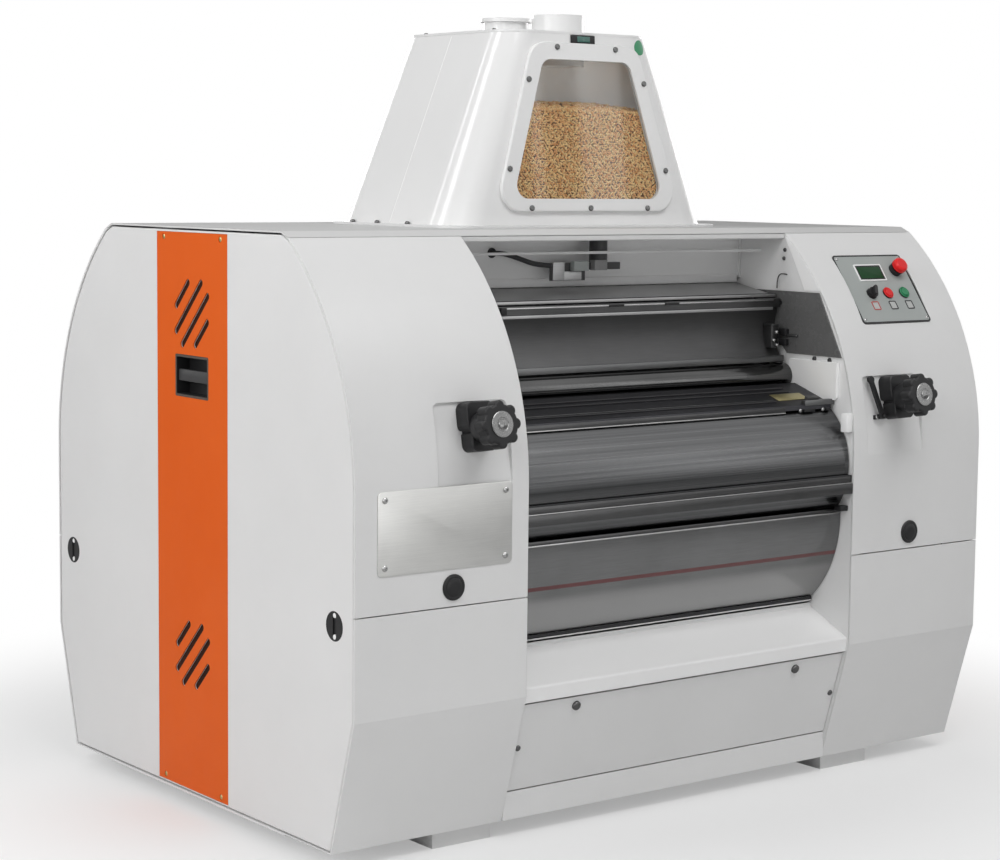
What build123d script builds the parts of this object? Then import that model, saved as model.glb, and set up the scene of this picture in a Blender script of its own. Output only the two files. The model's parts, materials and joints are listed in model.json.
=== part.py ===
from build123d import *
import os
from math import acos, asin, atan2, cos, degrees, pi, radians, sin, sqrt, tan

# Four-roll flour mill, drawn in millimetres.
# X runs along the rolls, -Y is the operator's front, Z is up from the floor.
# Front and rear passages are mirror images, and so are the left and right cabinets.

# Overall sizes
LENGTH = 1900.0
OPENING = 1000.0
FOOT_H = 36.0
DECK_Z = 1346.0
TOP_HALF = 382.0
SHOULDER_Z = 1333.0
BEND_Z = 800.0
COVER_R = 680.0
FACE_HALF = 670.0
KNEE_Z = 336.0
BOTTOM_HALF = 583.0
SEAM_Z = 557.0
SEAM_GAP = 1.2

# Sheet metal and clearances
SHEET = 3.0
DECK_T = 4.0
GAP = 0.5
RUN = 0.05
END_T = 16.0
END_SKIN = 5.0
END_GAP = 1.0
LIP_W = 5.0
LIP_GAP = 3.0
FRAME_T = 30.0
BASE_T = 24.0
UPPER_FLANGE = 40.0
LOWER_FLANGE = 95.0
UPPER_BACK = 250.0
LOWER_BACK = 400.0
CUT = 40.0
HEADER_W = 24.0
HEADER_H = 13.0
HEADER_R = 3.0
SMALL_R = 4.0

# Feet and anchor holes
FOOT_X = 596.0
FOOT_Y = 510.0
FOOT_L = 158.0
FOOT_W = 110.0
ANCHOR_R = 9.0
BASE_INSET = 8.0
BEAM_W = 50.0
BEAM_H = 64.0
BEAM_INSET = 18.0

# Grinding rolls and their gears
GEAR_MODULE = 9.0
OUTER_TEETH = 33
INNER_TEETH = 43
GEAR_W = 40.0
GEAR_X = 690.0
BACKLASH = 1.6
ADDENDUM = 0.9
DEDENDUM = 1.25
PRESSURE = 20.0
GRIND_GAP = 0.6
OUTER_OUT = 485.0
OUTER_Z = 775.0
NIP_ANGLE = 35.0
JOURNAL_R = 50.0
ROLL_END_GAP = 3.0
BEARING_R = 95.0
BEARING_W = 60.0
BLOCK_HALF = 95.0
BLOCK_W = 130.0
RAIL_T = 20.0
RAIL_L = 200.0
THROW = 3.0
JOURNAL_CLEAR = 5.0
SLIDE_CLEAR = 0.3
BLOCK_GAP = 5.0
PULLEY_R = 140.0
PULLEY_GROOVES = 5
GROOVE_PITCH = 15.0
GROOVE_D = 12.0
GROOVE_TOP = 12.0
GROOVE_LOW = 4.0
PULLEY_RIM = 2.5
SHAFT_END = 5.0

# Feed parts of one passage
FEED_OUT = 430.0
FEED_Z = 980.0
FEED_R = 31.0
FEED_SHAFT_R = 14.0
FEED_END_GAP = 10.0
GATE_OUT = 405.0
GATE_Z = 1160.0
GATE_T = 14.0
GATE_H = 23.0
GATE_PIN_R = 6.0
FEED_SHEET = 2.5
MOTOR_R = 36.0
MOTOR_L = 70.0
GEARBOX = 84.0
GEARBOX_W = 54.0
GEARBOX_R = 10.0
FEED_TAIL = 4.0
FEED_STUB = 26.0
PIN_TAIL = 10.0
TRAY_LIP_IN = 17.0
TRAY_LIP_UP = 18.0
SWEEP_IN = 11.0
SWEEP_DROP = 80.0

# Guards below the feed
GUARD_PIVOT_OUT = 532.0
GUARD_PIVOT_Z = 432.0
GUARD_TOP_OUT = 630.0
GUARD_TOP_Z = 658.0
GUARD_SAG = 28.0
HINGE_R = 7.0
HINGE_PIN_R = 5.0
APRON_Z = 352.0
APRON_OUT = 662.0
APRON_TUCK = 6.0
APRON_BELOW = 16.0
APRON_LIP = 34.0
APRON_BEND = 6.0
BAR_LOW = 709.0
BAR_HIGH = 752.0
BAR_OUT = 668.0
BAR_T = 10.0
LEDGE_T = 5.0
LEDGE_Z = 735.0
LEDGE_DROP = 2.0
HOOD_LINE = ((-470.0, 962.0), (-594.0, 922.0), (-596.0, 912.0))

# Hopper
HOPPER_BASE_X = 820.0
HOPPER_BASE_Y = 504.0
HOPPER_TOP_X = 456.0
HOPPER_TOP_Y = 444.0
HOPPER_BASE_R = 100.0
HOPPER_TOP_R = 80.0
HOPPER_TOP_Z = 1806.0
FLANGE_T = 6.0
FLANGE_W = 14.0
FLANGE_R = 57.0
LID_T = 6.0
LID_LAP = 0.5
THROAT_X = 760.0
THROAT_Y = 430.0
INLET_X = 55.0
INLET_Y = -55.0
INLET_R = 65.0
INLET_H = 50.0
NECK_WALL = 4.0
VENT_X = -12.0
VENT_Y = 70.0
VENT_R = 56.0
VENT_H = 36.0
VENT_CAP_R = 64.0
VENT_CAP_T = 9.0
GRAIN_Z = 1622.0

# Hopper window, as half widths at two heights
GLASS_LOW_Z = 1414.0
GLASS_HIGH_Z = 1744.0
GLASS_LOW_HALF = 233.0
GLASS_HIGH_HALF = 133.0
GLASS_R = 32.0
RIM = 41.0
RIM_LOW = 31.0
RIM_T = 10.0
RIM_R = 54.0
RIM_FILLET = 4.0
PANE_T = 4.0
PANE_LAP = 10.0

# Adjusting wheels, in pockets of the upper covers
WHEEL_X = 642.5
POCKET_HALF = 97.5
POCKET_LOW = 800.0
POCKET_HIGH = 989.0
POCKET_DEPTH = 6.0
POCKET_R = 14.0
WHEEL_Z = 932.0
BRACKET_LEFT = -34.0
BRACKET_RIGHT = 40.0
BRACKET_LOW = -51.0
BRACKET_HIGH = 55.0
BRACKET_STEP = 8.0
BRACKET_STEP_V = -8.0
BRACKET_T = 40.0
BRACKET_R = 16.0
BRACKET_EDGE = 2.0
NOTCH_R = 4.0
HUB_R = 31.0
HUB_H = 4.0
KNOB_CLEAR = 2.0
KNOB_R = 43.5
KNOB_LOBES = 8
LOBE_R = 12.0
LOBE_OUT = 39.5
KNOB_EDGE = 5.0
KNOB_BODY_R = 33.0
KNOB_BODY_H = 38.0
KNOB_FLARE = 12.0
KNOB_RIM_H = 30.0
SPINDLE_R = 8.0
SPINDLE_CLEAR = 2.0
SPINDLE_STOP = 24.0

# Control panel on the right front cover
PANEL_X = 721.0
PANEL_Z = 1199.0
PANEL_W = 234.0
PANEL_H = 193.0
PANEL_T = 3.0
BORDER = 4.5
PANEL_R = 5.0
GASKET_W = 12.0
GASKET_T = 6.0
STEM_REACH = 7.0
BUTTON_RISE = 3.0
BUTTON_EDGE = 2.0
BUTTON_R = 11.0
BUTTON_ROW = -15.0
BUTTON_PITCH = 58.0
RED_U = 11.5
BEZEL_R = 15.0
BEZEL_H = 4.0
ESTOP_U = 77.0
ESTOP_V = 53.0
ESTOP_R = 20.0
ESTOP_STEM_R = 9.0
ESTOP_COLLAR_R = 18.0
ESTOP_COLLAR_H = 12.0
ESTOP_TRAVEL = 5.0
ESTOP_HEAD_H = 16.0
ESTOP_EDGE = 7.0

# End covers, their orange strips and latches
STRIPE_W = 317.0
STRIPE_T = 3.0
STRIPE_EDGE = 5.0
STRIPE_SCREW_OUT = 127.0
STRIPE_SCREW_IN = 12.0
STRIPE_SCREW_R = 6.5
VENT_Z = (366.0, 1150.0)
VENT_PITCH = 40.6
VENT_W = 17.0
VENT_SLANT = 45.0
VENT_SHORT = 92.0
VENT_LONG = 177.0
PULL_W = 150.0
PULL_H = 97.0
PULL_Z = 1007.0
LATCH_OUT = 593.0
LATCH_Z = 530.0
LATCH_R = 32.0
STUD_R = 7.0
STUD_L = 26.0
LATCH_BACK = 4.0
KEY_L = 57.0
KEY_W = 12.0
KEY_D = 3.0

# Worked out from the sizes above
HALF_OPEN = OPENING / 2
COVER_END = LENGTH / 2 - END_T - END_GAP
END_INSET = LIP_W + LIP_GAP
STRIPE_L = DECK_Z - FOOT_H - 2 * (END_INSET + STRIPE_EDGE)
STRIPE_MID = (FOOT_H + DECK_Z) / 2
SHOULDER_ANGLE = degrees(asin((SHOULDER_Z - BEND_Z) / COVER_R))
SHOULDER_HALF = FACE_HALF - COVER_R + COVER_R * cos(radians(SHOULDER_ANGLE))
CENTRES = GEAR_MODULE * (OUTER_TEETH + INNER_TEETH) / 2
ROLL_R = (CENTRES - GRIND_GAP) / 2
INNER_OUT = OUTER_OUT - CENTRES * cos(radians(NIP_ANGLE))
INNER_Z = OUTER_Z + CENTRES * sin(radians(NIP_ANGLE))
BARREL_HALF = HALF_OPEN - ROLL_END_GAP
FRAME_END = HALF_OPEN + FRAME_T
BLOCK_X = FRAME_END + BLOCK_GAP
RAIL_OFF = BLOCK_HALF + SLIDE_CLEAR + RAIL_T / 2
FRAME_INSET = DECK_T + GAP
SPAN = HALF_OPEN - GAP
FEED_PLATE_HALF = HALF_OPEN - FEED_END_GAP
FRONT_REAR = Plane.XZ
LEFT_RIGHT = Plane.YZ
BOTTOM_ALIGN = (Align.CENTER, Align.CENTER, Align.MIN)
TOP_ALIGN = (Align.CENTER, Align.CENTER, Align.MAX)
FRONT_ALIGN = (Align.CENTER, Align.MAX, Align.MIN)


def cover_out(z):
    """Distance of the outer skin from the middle plane at height z."""
    if z > BEND_Z:
        return FACE_HALF - COVER_R + sqrt(COVER_R**2 - (z - BEND_Z) ** 2)
    return FACE_HALF


PAD_TOP = cover_out(POCKET_HIGH) - POCKET_DEPTH
PAD_TILT = atan2(FACE_HALF - PAD_TOP, POCKET_HIGH - POCKET_LOW)
PAD_OUT = FACE_HALF - (WHEEL_Z - POCKET_LOW) * tan(PAD_TILT)
PAD = Plane((WHEEL_X, -PAD_OUT, WHEEL_Z), x_dir=(1, 0, 0), z_dir=(0, -cos(PAD_TILT), sin(PAD_TILT)))
nip = radians(NIP_ANGLE)
block_away = (PAD_OUT - INNER_OUT) * cos(nip) + (INNER_Z - WHEEL_Z) * sin(nip) - BLOCK_HALF
SPINDLE_IN = (block_away - SPINDLE_STOP) / cos(PAD_TILT + nip)
PANEL_TILT = asin((PANEL_Z - BEND_Z) / COVER_R)
PANEL = Plane((PANEL_X, -cover_out(PANEL_Z), PANEL_Z), x_dir=(1, 0, 0),
              z_dir=(0, -cos(PANEL_TILT), sin(PANEL_TILT)))
PANEL_BACK = sqrt(COVER_R**2 - (PANEL_H / 2 + BORDER) ** 2) - COVER_R
PANEL_FACE = PANEL_BACK + PANEL_T
HOPPER_Z = DECK_Z + FLANGE_T
HOPPER_TILT = atan2((HOPPER_BASE_Y - HOPPER_TOP_Y) / 2, HOPPER_TOP_Z - HOPPER_Z)
WINDOW = Plane((0, -HOPPER_BASE_Y / 2, HOPPER_Z), x_dir=(1, 0, 0),
               z_dir=(0, -cos(HOPPER_TILT), sin(HOPPER_TILT)))
LOWER_TILT = atan2(FACE_HALF - BOTTOM_HALF, KNEE_Z - FOOT_H)

os.makedirs("parts", exist_ok=True)


def save(piece, name):
    """Labels one finished piece and writes it under its node name."""
    piece.label = name
    export_step(piece, f"parts/{name}.step")
    print(name, len(piece.solids()), round(piece.volume))


def mirrored(piece, plane):
    """The same piece on the other side of a middle plane."""
    with BuildPart() as copy:
        mirror(piece, about=plane)
    return copy.part


def face_towards(piece, plane):
    """The flat face of a piece that lies furthest out along a plane's normal."""
    flat = piece.faces().filter_by(GeomType.PLANE)
    return flat.sort_by(lambda face: plane.to_local_coords(face.center()).Z)[-1]


def profile_block(inset, x_low, x_high):
    """A block along X whose section is the cabinet outline, drawn in by inset."""
    with BuildPart() as block:
        with BuildSketch(Plane.YZ.offset(x_low)):
            with BuildLine():
                Polyline((0, FOOT_H), (BOTTOM_HALF, FOOT_H), (FACE_HALF, KNEE_Z), (FACE_HALF, BEND_Z))
                CenterArc((FACE_HALF - COVER_R, BEND_Z), COVER_R, 0, SHOULDER_ANGLE)
                Polyline((SHOULDER_HALF, SHOULDER_Z), (TOP_HALF, DECK_Z), (0, DECK_Z))
                mirror(about=Plane.YZ)
            make_face()
            if inset:
                offset(amount=-inset, kind=Kind.INTERSECTION)
        extrude(amount=x_high - x_low)
    return block.part


def rods_along_x(centre, steps):
    """A turned shaft along X, from (x_low, x_high, radius) steps."""
    with BuildPart() as shaft:
        for x_low, x_high, radius in steps:
            with BuildSketch(Plane.YZ.offset(x_low)):
                with Locations(centre):
                    Circle(radius)
            extrude(amount=x_high - x_low)
    return shaft.part


def sheet_along_x(path, thickness, side, x_low, x_high, bend=0.0):
    """A bent sheet along X, whose section follows a path of (y, z) points."""
    with BuildPart() as sheet:
        with BuildSketch(Plane.YZ.offset(x_low)):
            with BuildLine():
                if bend:
                    line = FilletPolyline(*path, radius=bend)
                else:
                    line = Polyline(*path)
                offset(line, amount=thickness, side=side)
            make_face()
        extrude(amount=x_high - x_low)
    return sheet.part


# Base: two lipped floor plates on four bored feet, joined by a front and a rear rail
with BuildPart() as base_frame:
    for side in (-1, 1):
        with Locations((side * (HALF_OPEN + COVER_END) / 2, 0, FOOT_H + BASE_T / 2)):
            Box(COVER_END - HALF_OPEN - BASE_INSET, 2 * (BOTTOM_HALF - BASE_INSET), BASE_T)
        with Locations((side * (COVER_END - BASE_INSET + LENGTH / 2) / 2, 0, FOOT_H + LIP_W / 2)):
            Box(LENGTH / 2 - COVER_END + BASE_INSET, 2 * (LOWER_BACK - GAP), LIP_W)
        for end in (-1, 1):
            with Locations((side * FOOT_X, end * FOOT_Y, FOOT_H / 2)):
                Box(FOOT_L, FOOT_W, FOOT_H - GAP / 5)
    for end in (-1, 1):
        with Locations((0, end * (BOTTOM_HALF - BEAM_INSET), FOOT_H + SMALL_R + BEAM_H / 2)):
            Box(2 * SPAN, BEAM_W, BEAM_H)
    with GridLocations(2 * FOOT_X, 2 * FOOT_Y, 2, 2):
        Cylinder(ANCHOR_R, 4 * FOOT_H, mode=Mode.SUBTRACT)
save(base_frame.part, "base_frame")

# Side frames: thick bulkheads with journal holes and slanted rails for the inner bearing blocks
with BuildPart() as right_frame:
    add(profile_block(FRAME_INSET, HALF_OPEN, FRAME_END))
    with Locations(((HALF_OPEN + FRAME_END) / 2, 0, FOOT_H + BASE_T)):
        Box(2 * FRAME_T, 2 * FACE_HALF, DECK_Z, align=BOTTOM_ALIGN, mode=Mode.INTERSECT)
    for end in (-1, 1):
        with BuildSketch(Plane.YZ.offset(FRAME_END)):
            for above in (-1, 1):
                rail_out = INNER_OUT + above * RAIL_OFF * sin(radians(NIP_ANGLE))
                rail_z = INNER_Z + above * RAIL_OFF * cos(radians(NIP_ANGLE))
                with Locations(Location((end * rail_out, rail_z, 0), (0, 0, -end * NIP_ANGLE))):
                    Rectangle(RAIL_L, RAIL_T)
        extrude(amount=BLOCK_W)
        with BuildSketch(Plane.YZ.offset(HALF_OPEN)):
            with Locations((end * OUTER_OUT, OUTER_Z)):
                Circle(JOURNAL_R + JOURNAL_CLEAR)
            with Locations((end * INNER_OUT, INNER_Z)):
                Circle(JOURNAL_R + JOURNAL_CLEAR + 2 * THROW)
            with Locations((end * FEED_OUT, FEED_Z)):
                Circle(FEED_SHAFT_R + RUN)
            with Locations((end * GATE_OUT, GATE_Z)):
                Circle(GATE_PIN_R + RUN)
            with Locations((end * GUARD_PIVOT_OUT, GUARD_PIVOT_Z)):
                Circle(HINGE_PIN_R + RUN)
        extrude(amount=FRAME_T, mode=Mode.SUBTRACT)
save(right_frame.part, "right_side_frame")
save(mirrored(right_frame.part, LEFT_RIGHT), "left_side_frame")

# Deck: bent top plate with the throat under the hopper, and a header bar over each opening
with BuildPart() as deck:
    add(profile_block(0, -LENGTH / 2, LENGTH / 2))
    add(profile_block(DECK_T, -LENGTH, LENGTH), mode=Mode.SUBTRACT)
    with Locations((0, 0, SHOULDER_Z)):
        Box(LENGTH, 2 * FACE_HALF, DECK_Z, align=BOTTOM_ALIGN, mode=Mode.INTERSECT)
    Box(THROAT_X, THROAT_Y, 3 * DECK_Z, mode=Mode.SUBTRACT)
    for end in (-1, 1):
        with BuildSketch(Plane.YZ.offset(-SPAN)):
            header_out = SHOULDER_HALF - HEADER_W / 2 - END_GAP
            with Locations((end * header_out, SHOULDER_Z - GAP - HEADER_H / 2)):
                RectangleRounded(HEADER_W, HEADER_H, HEADER_R)
        extrude(amount=2 * SPAN)
save(deck.part, "deck")

# Flow sheets: a roof-shaped splitter on a middle wall, an upright baffle behind each feed
# chamber that leaves a slot over the tray, and two chutes to the outlet below
ROOF_OUT = 247.0
ROOF_Z = 1208.0
ROOF_T = 4.0
RIDGE_Z = 1328.0
WALL_HALF = 3.0
WALL_LIFT = 30.0
BAFFLE_SLOT = 14.0
CHUTE_TOP = (-520.0, 412.0)
CHUTE_LOW = (-170.0, 66.0)
tray_out = ROOF_OUT + SHEET
baffle_low = ROOF_Z + BAFFLE_SLOT
wall_low = FOOT_H + WALL_LIFT
baffle_high = DECK_Z - DECK_T - GAP / 5
with BuildPart() as flow_sheets:
    with BuildSketch(Plane.YZ.offset(-SPAN)):
        with BuildLine():
            Polyline((0, RIDGE_Z), (ROOF_OUT, ROOF_Z), (ROOF_OUT, ROOF_Z - ROOF_T),
                     (WALL_HALF, RIDGE_Z - 2 * WALL_HALF), (WALL_HALF, wall_low), (0, wall_low))
            mirror(about=Plane.YZ)
        make_face()
    extrude(amount=2 * SPAN)
    chute = sheet_along_x([CHUTE_TOP, CHUTE_LOW], SHEET, Side.RIGHT, -SPAN, SPAN)
    add(chute)
    add(mirrored(chute, FRONT_REAR))
    for end in (-1, 1):
        with Locations((0, end * tray_out, (baffle_low + baffle_high) / 2)):
            Box(2 * SPAN, SHEET, baffle_high - baffle_low)
save(flow_sheets.part, "flow_sheets")


def hopper_half_depth(z):
    """Half depth of the hopper's outside at height z."""
    share = (z - HOPPER_Z) / (HOPPER_TOP_Z - HOPPER_Z)
    return (HOPPER_BASE_Y + share * (HOPPER_TOP_Y - HOPPER_BASE_Y)) / 2


def hopper_loft(inset, z_low, z_high):
    """A solid between two heights that follows the hopper walls, drawn in by inset."""
    with BuildPart() as body:
        for z in (z_low, z_high):
            share = (z - HOPPER_Z) / (HOPPER_TOP_Z - HOPPER_Z)
            wide = HOPPER_BASE_X + share * (HOPPER_TOP_X - HOPPER_BASE_X) - 2 * inset
            deep = 2 * hopper_half_depth(z) - 2 * inset
            corner = HOPPER_BASE_R + share * (HOPPER_TOP_R - HOPPER_BASE_R) - inset
            with BuildSketch(Plane.XY.offset(z)):
                RectangleRounded(wide, deep, corner)
        loft(ruled=True)
    return body.part


def window_block(grow, drop, corner, lift, depth):
    """A block with the window's outline, grown by grow and by drop below, that starts lift above the face."""
    slope = (GLASS_LOW_HALF - GLASS_HIGH_HALF) / (GLASS_HIGH_Z - GLASS_LOW_Z)
    reach = grow * sqrt(1 + slope**2)
    low = (GLASS_LOW_Z - HOPPER_Z) / cos(HOPPER_TILT) - drop
    high = (GLASS_HIGH_Z - HOPPER_Z) / cos(HOPPER_TILT) + grow
    low_half = GLASS_LOW_HALF + reach + drop * slope
    high_half = GLASS_HIGH_HALF + reach - grow * slope
    with BuildPart() as block:
        with BuildSketch(WINDOW.offset(lift)):
            with BuildLine():
                FilletPolyline((-low_half, low), (low_half, low), (high_half, high), (-high_half, high),
                               radius=corner, close=True)
            make_face()
        extrude(amount=depth)
    return block.part


# Hopper: tapered shell with rounded corners on a flange, open below, with a window in front
with BuildPart() as hopper:
    add(hopper_loft(0, HOPPER_Z, HOPPER_TOP_Z))
    add(hopper_loft(SHEET, HOPPER_Z, HOPPER_TOP_Z), mode=Mode.SUBTRACT)
    with BuildSketch(Plane.XY.offset(DECK_Z)):
        RectangleRounded(HOPPER_BASE_X + 2 * FLANGE_W, HOPPER_BASE_Y + 2 * FLANGE_W, FLANGE_R)
        RectangleRounded(HOPPER_BASE_X - 2 * SHEET, HOPPER_BASE_Y - 2 * SHEET, HOPPER_BASE_R - SHEET,
                         mode=Mode.SUBTRACT)
    extrude(amount=FLANGE_T)
    add(window_block(0, 0, GLASS_R, -4 * SHEET, 8 * SHEET), mode=Mode.SUBTRACT)
save(hopper.part, "hopper_shell")

# Window: a raised frame with a rebate behind it, and the clear pane that sits in the rebate
with BuildPart() as window_frame:
    add(window_block(RIM, RIM_LOW, RIM_R, 0, RIM_T))
    fillet(face_towards(window_frame.part, WINDOW).edges(), RIM_FILLET)
    add(window_block(0, 0, GLASS_R, -RIM_T, 3 * RIM_T), mode=Mode.SUBTRACT)
    rebate = PANE_LAP + GAP
    add(window_block(rebate, rebate, GLASS_R + PANE_LAP, -RIM_T, RIM_T + PANE_T + GAP / 2),
        mode=Mode.SUBTRACT)
save(window_frame.part, "window_frame")

save(window_block(PANE_LAP, PANE_LAP, GLASS_R + PANE_LAP - GAP, GAP / 10, PANE_T), "window_pane")

# Lid: top plate with the inlet neck and the capped vent neck welded on
with BuildPart() as lid:
    with BuildSketch(Plane.XY.offset(HOPPER_TOP_Z)):
        RectangleRounded(HOPPER_TOP_X + 2 * LID_LAP, HOPPER_TOP_Y + 2 * LID_LAP, HOPPER_TOP_R + LID_LAP)
    extrude(amount=LID_T)
    with Locations((INLET_X, INLET_Y, HOPPER_TOP_Z)):
        Cylinder(INLET_R, LID_T + INLET_H, align=BOTTOM_ALIGN)
        Cylinder(INLET_R - NECK_WALL, LID_T + INLET_H, align=BOTTOM_ALIGN, mode=Mode.SUBTRACT)
    with Locations((VENT_X, VENT_Y, HOPPER_TOP_Z)):
        Cylinder(VENT_R, LID_T + VENT_H, align=BOTTOM_ALIGN)
        Cylinder(VENT_R - NECK_WALL, LID_T + VENT_H, align=BOTTOM_ALIGN, mode=Mode.SUBTRACT)
    with Locations((VENT_X, VENT_Y, HOPPER_TOP_Z + LID_T + VENT_H)):
        Cylinder(VENT_CAP_R, VENT_CAP_T, align=BOTTOM_ALIGN)
save(lid.part, "hopper_lid")

# Grain: the wheat that fills the hopper, as one heaped solid
GRAIN_CLEAR = 4.0
GRAIN_CROWN = 24.0
CROWN_SHARE = 0.5
with BuildPart() as grain:
    add(hopper_loft(SHEET + GRAIN_CLEAR, HOPPER_Z, GRAIN_Z))
    top_share = (GRAIN_Z - HOPPER_Z) / (HOPPER_TOP_Z - HOPPER_Z)
    top_wide = HOPPER_BASE_X + top_share * (HOPPER_TOP_X - HOPPER_BASE_X) - 2 * (SHEET + GRAIN_CLEAR)
    top_deep = 2 * (hopper_half_depth(GRAIN_Z) - SHEET - GRAIN_CLEAR)
    top_corner = HOPPER_TOP_R - SHEET - GRAIN_CLEAR
    for lift, share in ((0, 1), (GRAIN_CROWN, CROWN_SHARE)):
        with BuildSketch(Plane.XY.offset(GRAIN_Z + lift)):
            RectangleRounded(top_wide * share, top_deep * share, top_corner * share)
    loft(ruled=True)
save(grain.part, "grain")


def cover(z_low, z_high, flange, inner_y):
    """One right front cabinet cover between two heights, with a flange and a lip at its outer end."""
    with BuildPart() as shell:
        add(profile_block(0, HALF_OPEN, LENGTH / 2))
        add(profile_block(SHEET, HALF_OPEN - END_GAP, COVER_END - SHEET), mode=Mode.SUBTRACT)
        add(profile_block(flange, COVER_END - 2 * SHEET, COVER_END + END_GAP), mode=Mode.SUBTRACT)
        add(profile_block(LIP_W, COVER_END, LENGTH / 2 + END_GAP), mode=Mode.SUBTRACT)
        with Locations(((HALF_OPEN + COVER_END) / 2, -inner_y, z_low)):
            Box(LENGTH, LENGTH, z_high - z_low, align=FRONT_ALIGN, mode=Mode.INTERSECT)
    return shell.part


def upper_cover(with_panel):
    """The curved upper cover: a flat pocket for the wheel and, on one, the panel's cut-out."""
    with BuildPart() as pan:
        add(profile_block(0, WHEEL_X - POCKET_HALF - SHEET, WHEEL_X + POCKET_HALF + SHEET))
        with Locations((WHEEL_X, 0, POCKET_LOW - 2 * SHEET)):
            Box(LENGTH, LENGTH, POCKET_HIGH - POCKET_LOW + 3 * SHEET, align=FRONT_ALIGN,
                mode=Mode.INTERSECT)
        with Locations(PAD.offset(-SHEET)):
            Box(LENGTH, LENGTH, LENGTH, align=BOTTOM_ALIGN, mode=Mode.INTERSECT)
    high = (POCKET_HIGH - WHEEL_Z) / cos(PAD_TILT)
    low = (POCKET_LOW - WHEEL_Z) / cos(PAD_TILT)
    with BuildPart() as shell:
        add(cover(SEAM_Z + SEAM_GAP, SHOULDER_Z - GAP, UPPER_FLANGE, UPPER_BACK))
        add(pan.part)
        with BuildSketch(PAD):
            with Locations((0, (high + low) / 2)):
                RectangleRounded(2 * POCKET_HALF, high - low, POCKET_R)
        extrude(amount=CUT, mode=Mode.SUBTRACT)
        with BuildSketch(PAD.offset(-CUT / 2)):
            Circle(SPINDLE_R + SPINDLE_CLEAR)
        extrude(amount=CUT, mode=Mode.SUBTRACT)
        if with_panel:
            with BuildSketch(PANEL.offset(-CUT)):
                RectangleRounded(PANEL_W + 2 * (BORDER + RUN), PANEL_H + 2 * (BORDER + RUN),
                                 PANEL_R + BORDER)
            extrude(amount=2 * CUT, mode=Mode.SUBTRACT)
    return shell.part


def lower_cover():
    """The lower cover, with a flange bored for the end cover's latch stud."""
    with BuildPart() as shell:
        add(cover(FOOT_H + SHEET, SEAM_Z - SEAM_GAP, LOWER_FLANGE, LOWER_BACK))
        with BuildSketch(Plane.YZ.offset(COVER_END - 2 * SHEET)):
            with Locations((-LATCH_OUT, LATCH_Z)):
                Circle(STUD_R + END_GAP)
        extrude(amount=3 * SHEET, mode=Mode.SUBTRACT)
    return shell.part


# Cabinet covers
plain_upper = upper_cover(False)
lower = lower_cover()
with BuildPart() as front_upper_covers:
    add(upper_cover(True))
    add(mirrored(plain_upper, LEFT_RIGHT))
save(front_upper_covers.part, "front_upper_covers")

with BuildPart() as front_lower_covers:
    add(lower)
    add(mirrored(lower, LEFT_RIGHT))
save(front_lower_covers.part, "front_lower_covers")

rear_upper = mirrored(plain_upper, FRONT_REAR)
rear_lower = mirrored(lower, FRONT_REAR)
with BuildPart() as rear_covers:
    for cover_part in (rear_upper, rear_lower):
        add(cover_part)
        add(mirrored(cover_part, LEFT_RIGHT))
save(rear_covers.part, "rear_covers")

# Thick wheel brackets, stepped and notched on the left, the same casting on both sides
KNOB_BASE = BRACKET_T + HUB_H + KNOB_CLEAR
foot_left = BRACKET_LEFT + BRACKET_STEP
foot_high = BRACKET_STEP_V + 2 * BRACKET_R
with BuildPart() as bracket:
    with BuildSketch(PAD.offset(GAP / 5)):
        with Locations(((BRACKET_LEFT + BRACKET_RIGHT) / 2, (BRACKET_STEP_V + BRACKET_HIGH) / 2)):
            RectangleRounded(BRACKET_RIGHT - BRACKET_LEFT, BRACKET_HIGH - BRACKET_STEP_V, BRACKET_R)
        with Locations(((foot_left + BRACKET_RIGHT) / 2, (BRACKET_LOW + foot_high) / 2)):
            RectangleRounded(BRACKET_RIGHT - foot_left, foot_high - BRACKET_LOW, BRACKET_R)
        with Locations((foot_left, BRACKET_STEP_V)):
            Circle(NOTCH_R, mode=Mode.SUBTRACT)
    extrude(amount=BRACKET_T)
    chamfer(face_towards(bracket.part, PAD).edges(), BRACKET_EDGE)
    with BuildSketch(PAD.offset(BRACKET_T)):
        Circle(HUB_R)
    extrude(amount=HUB_H)
    with BuildSketch(PAD):
        Circle(SPINDLE_R + RUN)
    extrude(amount=4 * BRACKET_T, mode=Mode.SUBTRACT)
rear_bracket = mirrored(bracket.part, FRONT_REAR)
with BuildPart() as wheel_brackets:
    for one_bracket in (bracket.part, rear_bracket):
        add(one_bracket)
        add(one_bracket.moved(Location((-2 * WHEEL_X, 0, 0))))
save(wheel_brackets.part, "wheel_brackets")

# Lobed wheels on long spindles that reach in to the bearing blocks
with BuildPart() as wheel:
    with BuildSketch(PAD.offset(KNOB_BASE)):
        Circle(KNOB_BODY_R)
    extrude(amount=KNOB_BODY_H, taper=-KNOB_FLARE)
    with BuildSketch(PAD.offset(KNOB_BASE + KNOB_BODY_H)):
        Circle(KNOB_R)
        with PolarLocations(LOBE_OUT, KNOB_LOBES):
            Circle(LOBE_R)
    extrude(amount=KNOB_RIM_H)
    fillet(face_towards(wheel.part, PAD).edges(), KNOB_EDGE)
    with BuildSketch(PAD.offset(-SPINDLE_IN)):
        Circle(SPINDLE_R)
    extrude(amount=SPINDLE_IN + KNOB_BASE + KNOB_BODY_H)
rear_wheel = mirrored(wheel.part, FRONT_REAR)
save(wheel.part, "front_right_wheel")
save(mirrored(wheel.part, LEFT_RIGHT), "front_left_wheel")
save(rear_wheel, "rear_right_wheel")
save(mirrored(rear_wheel, LEFT_RIGHT), "rear_left_wheel")

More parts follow.
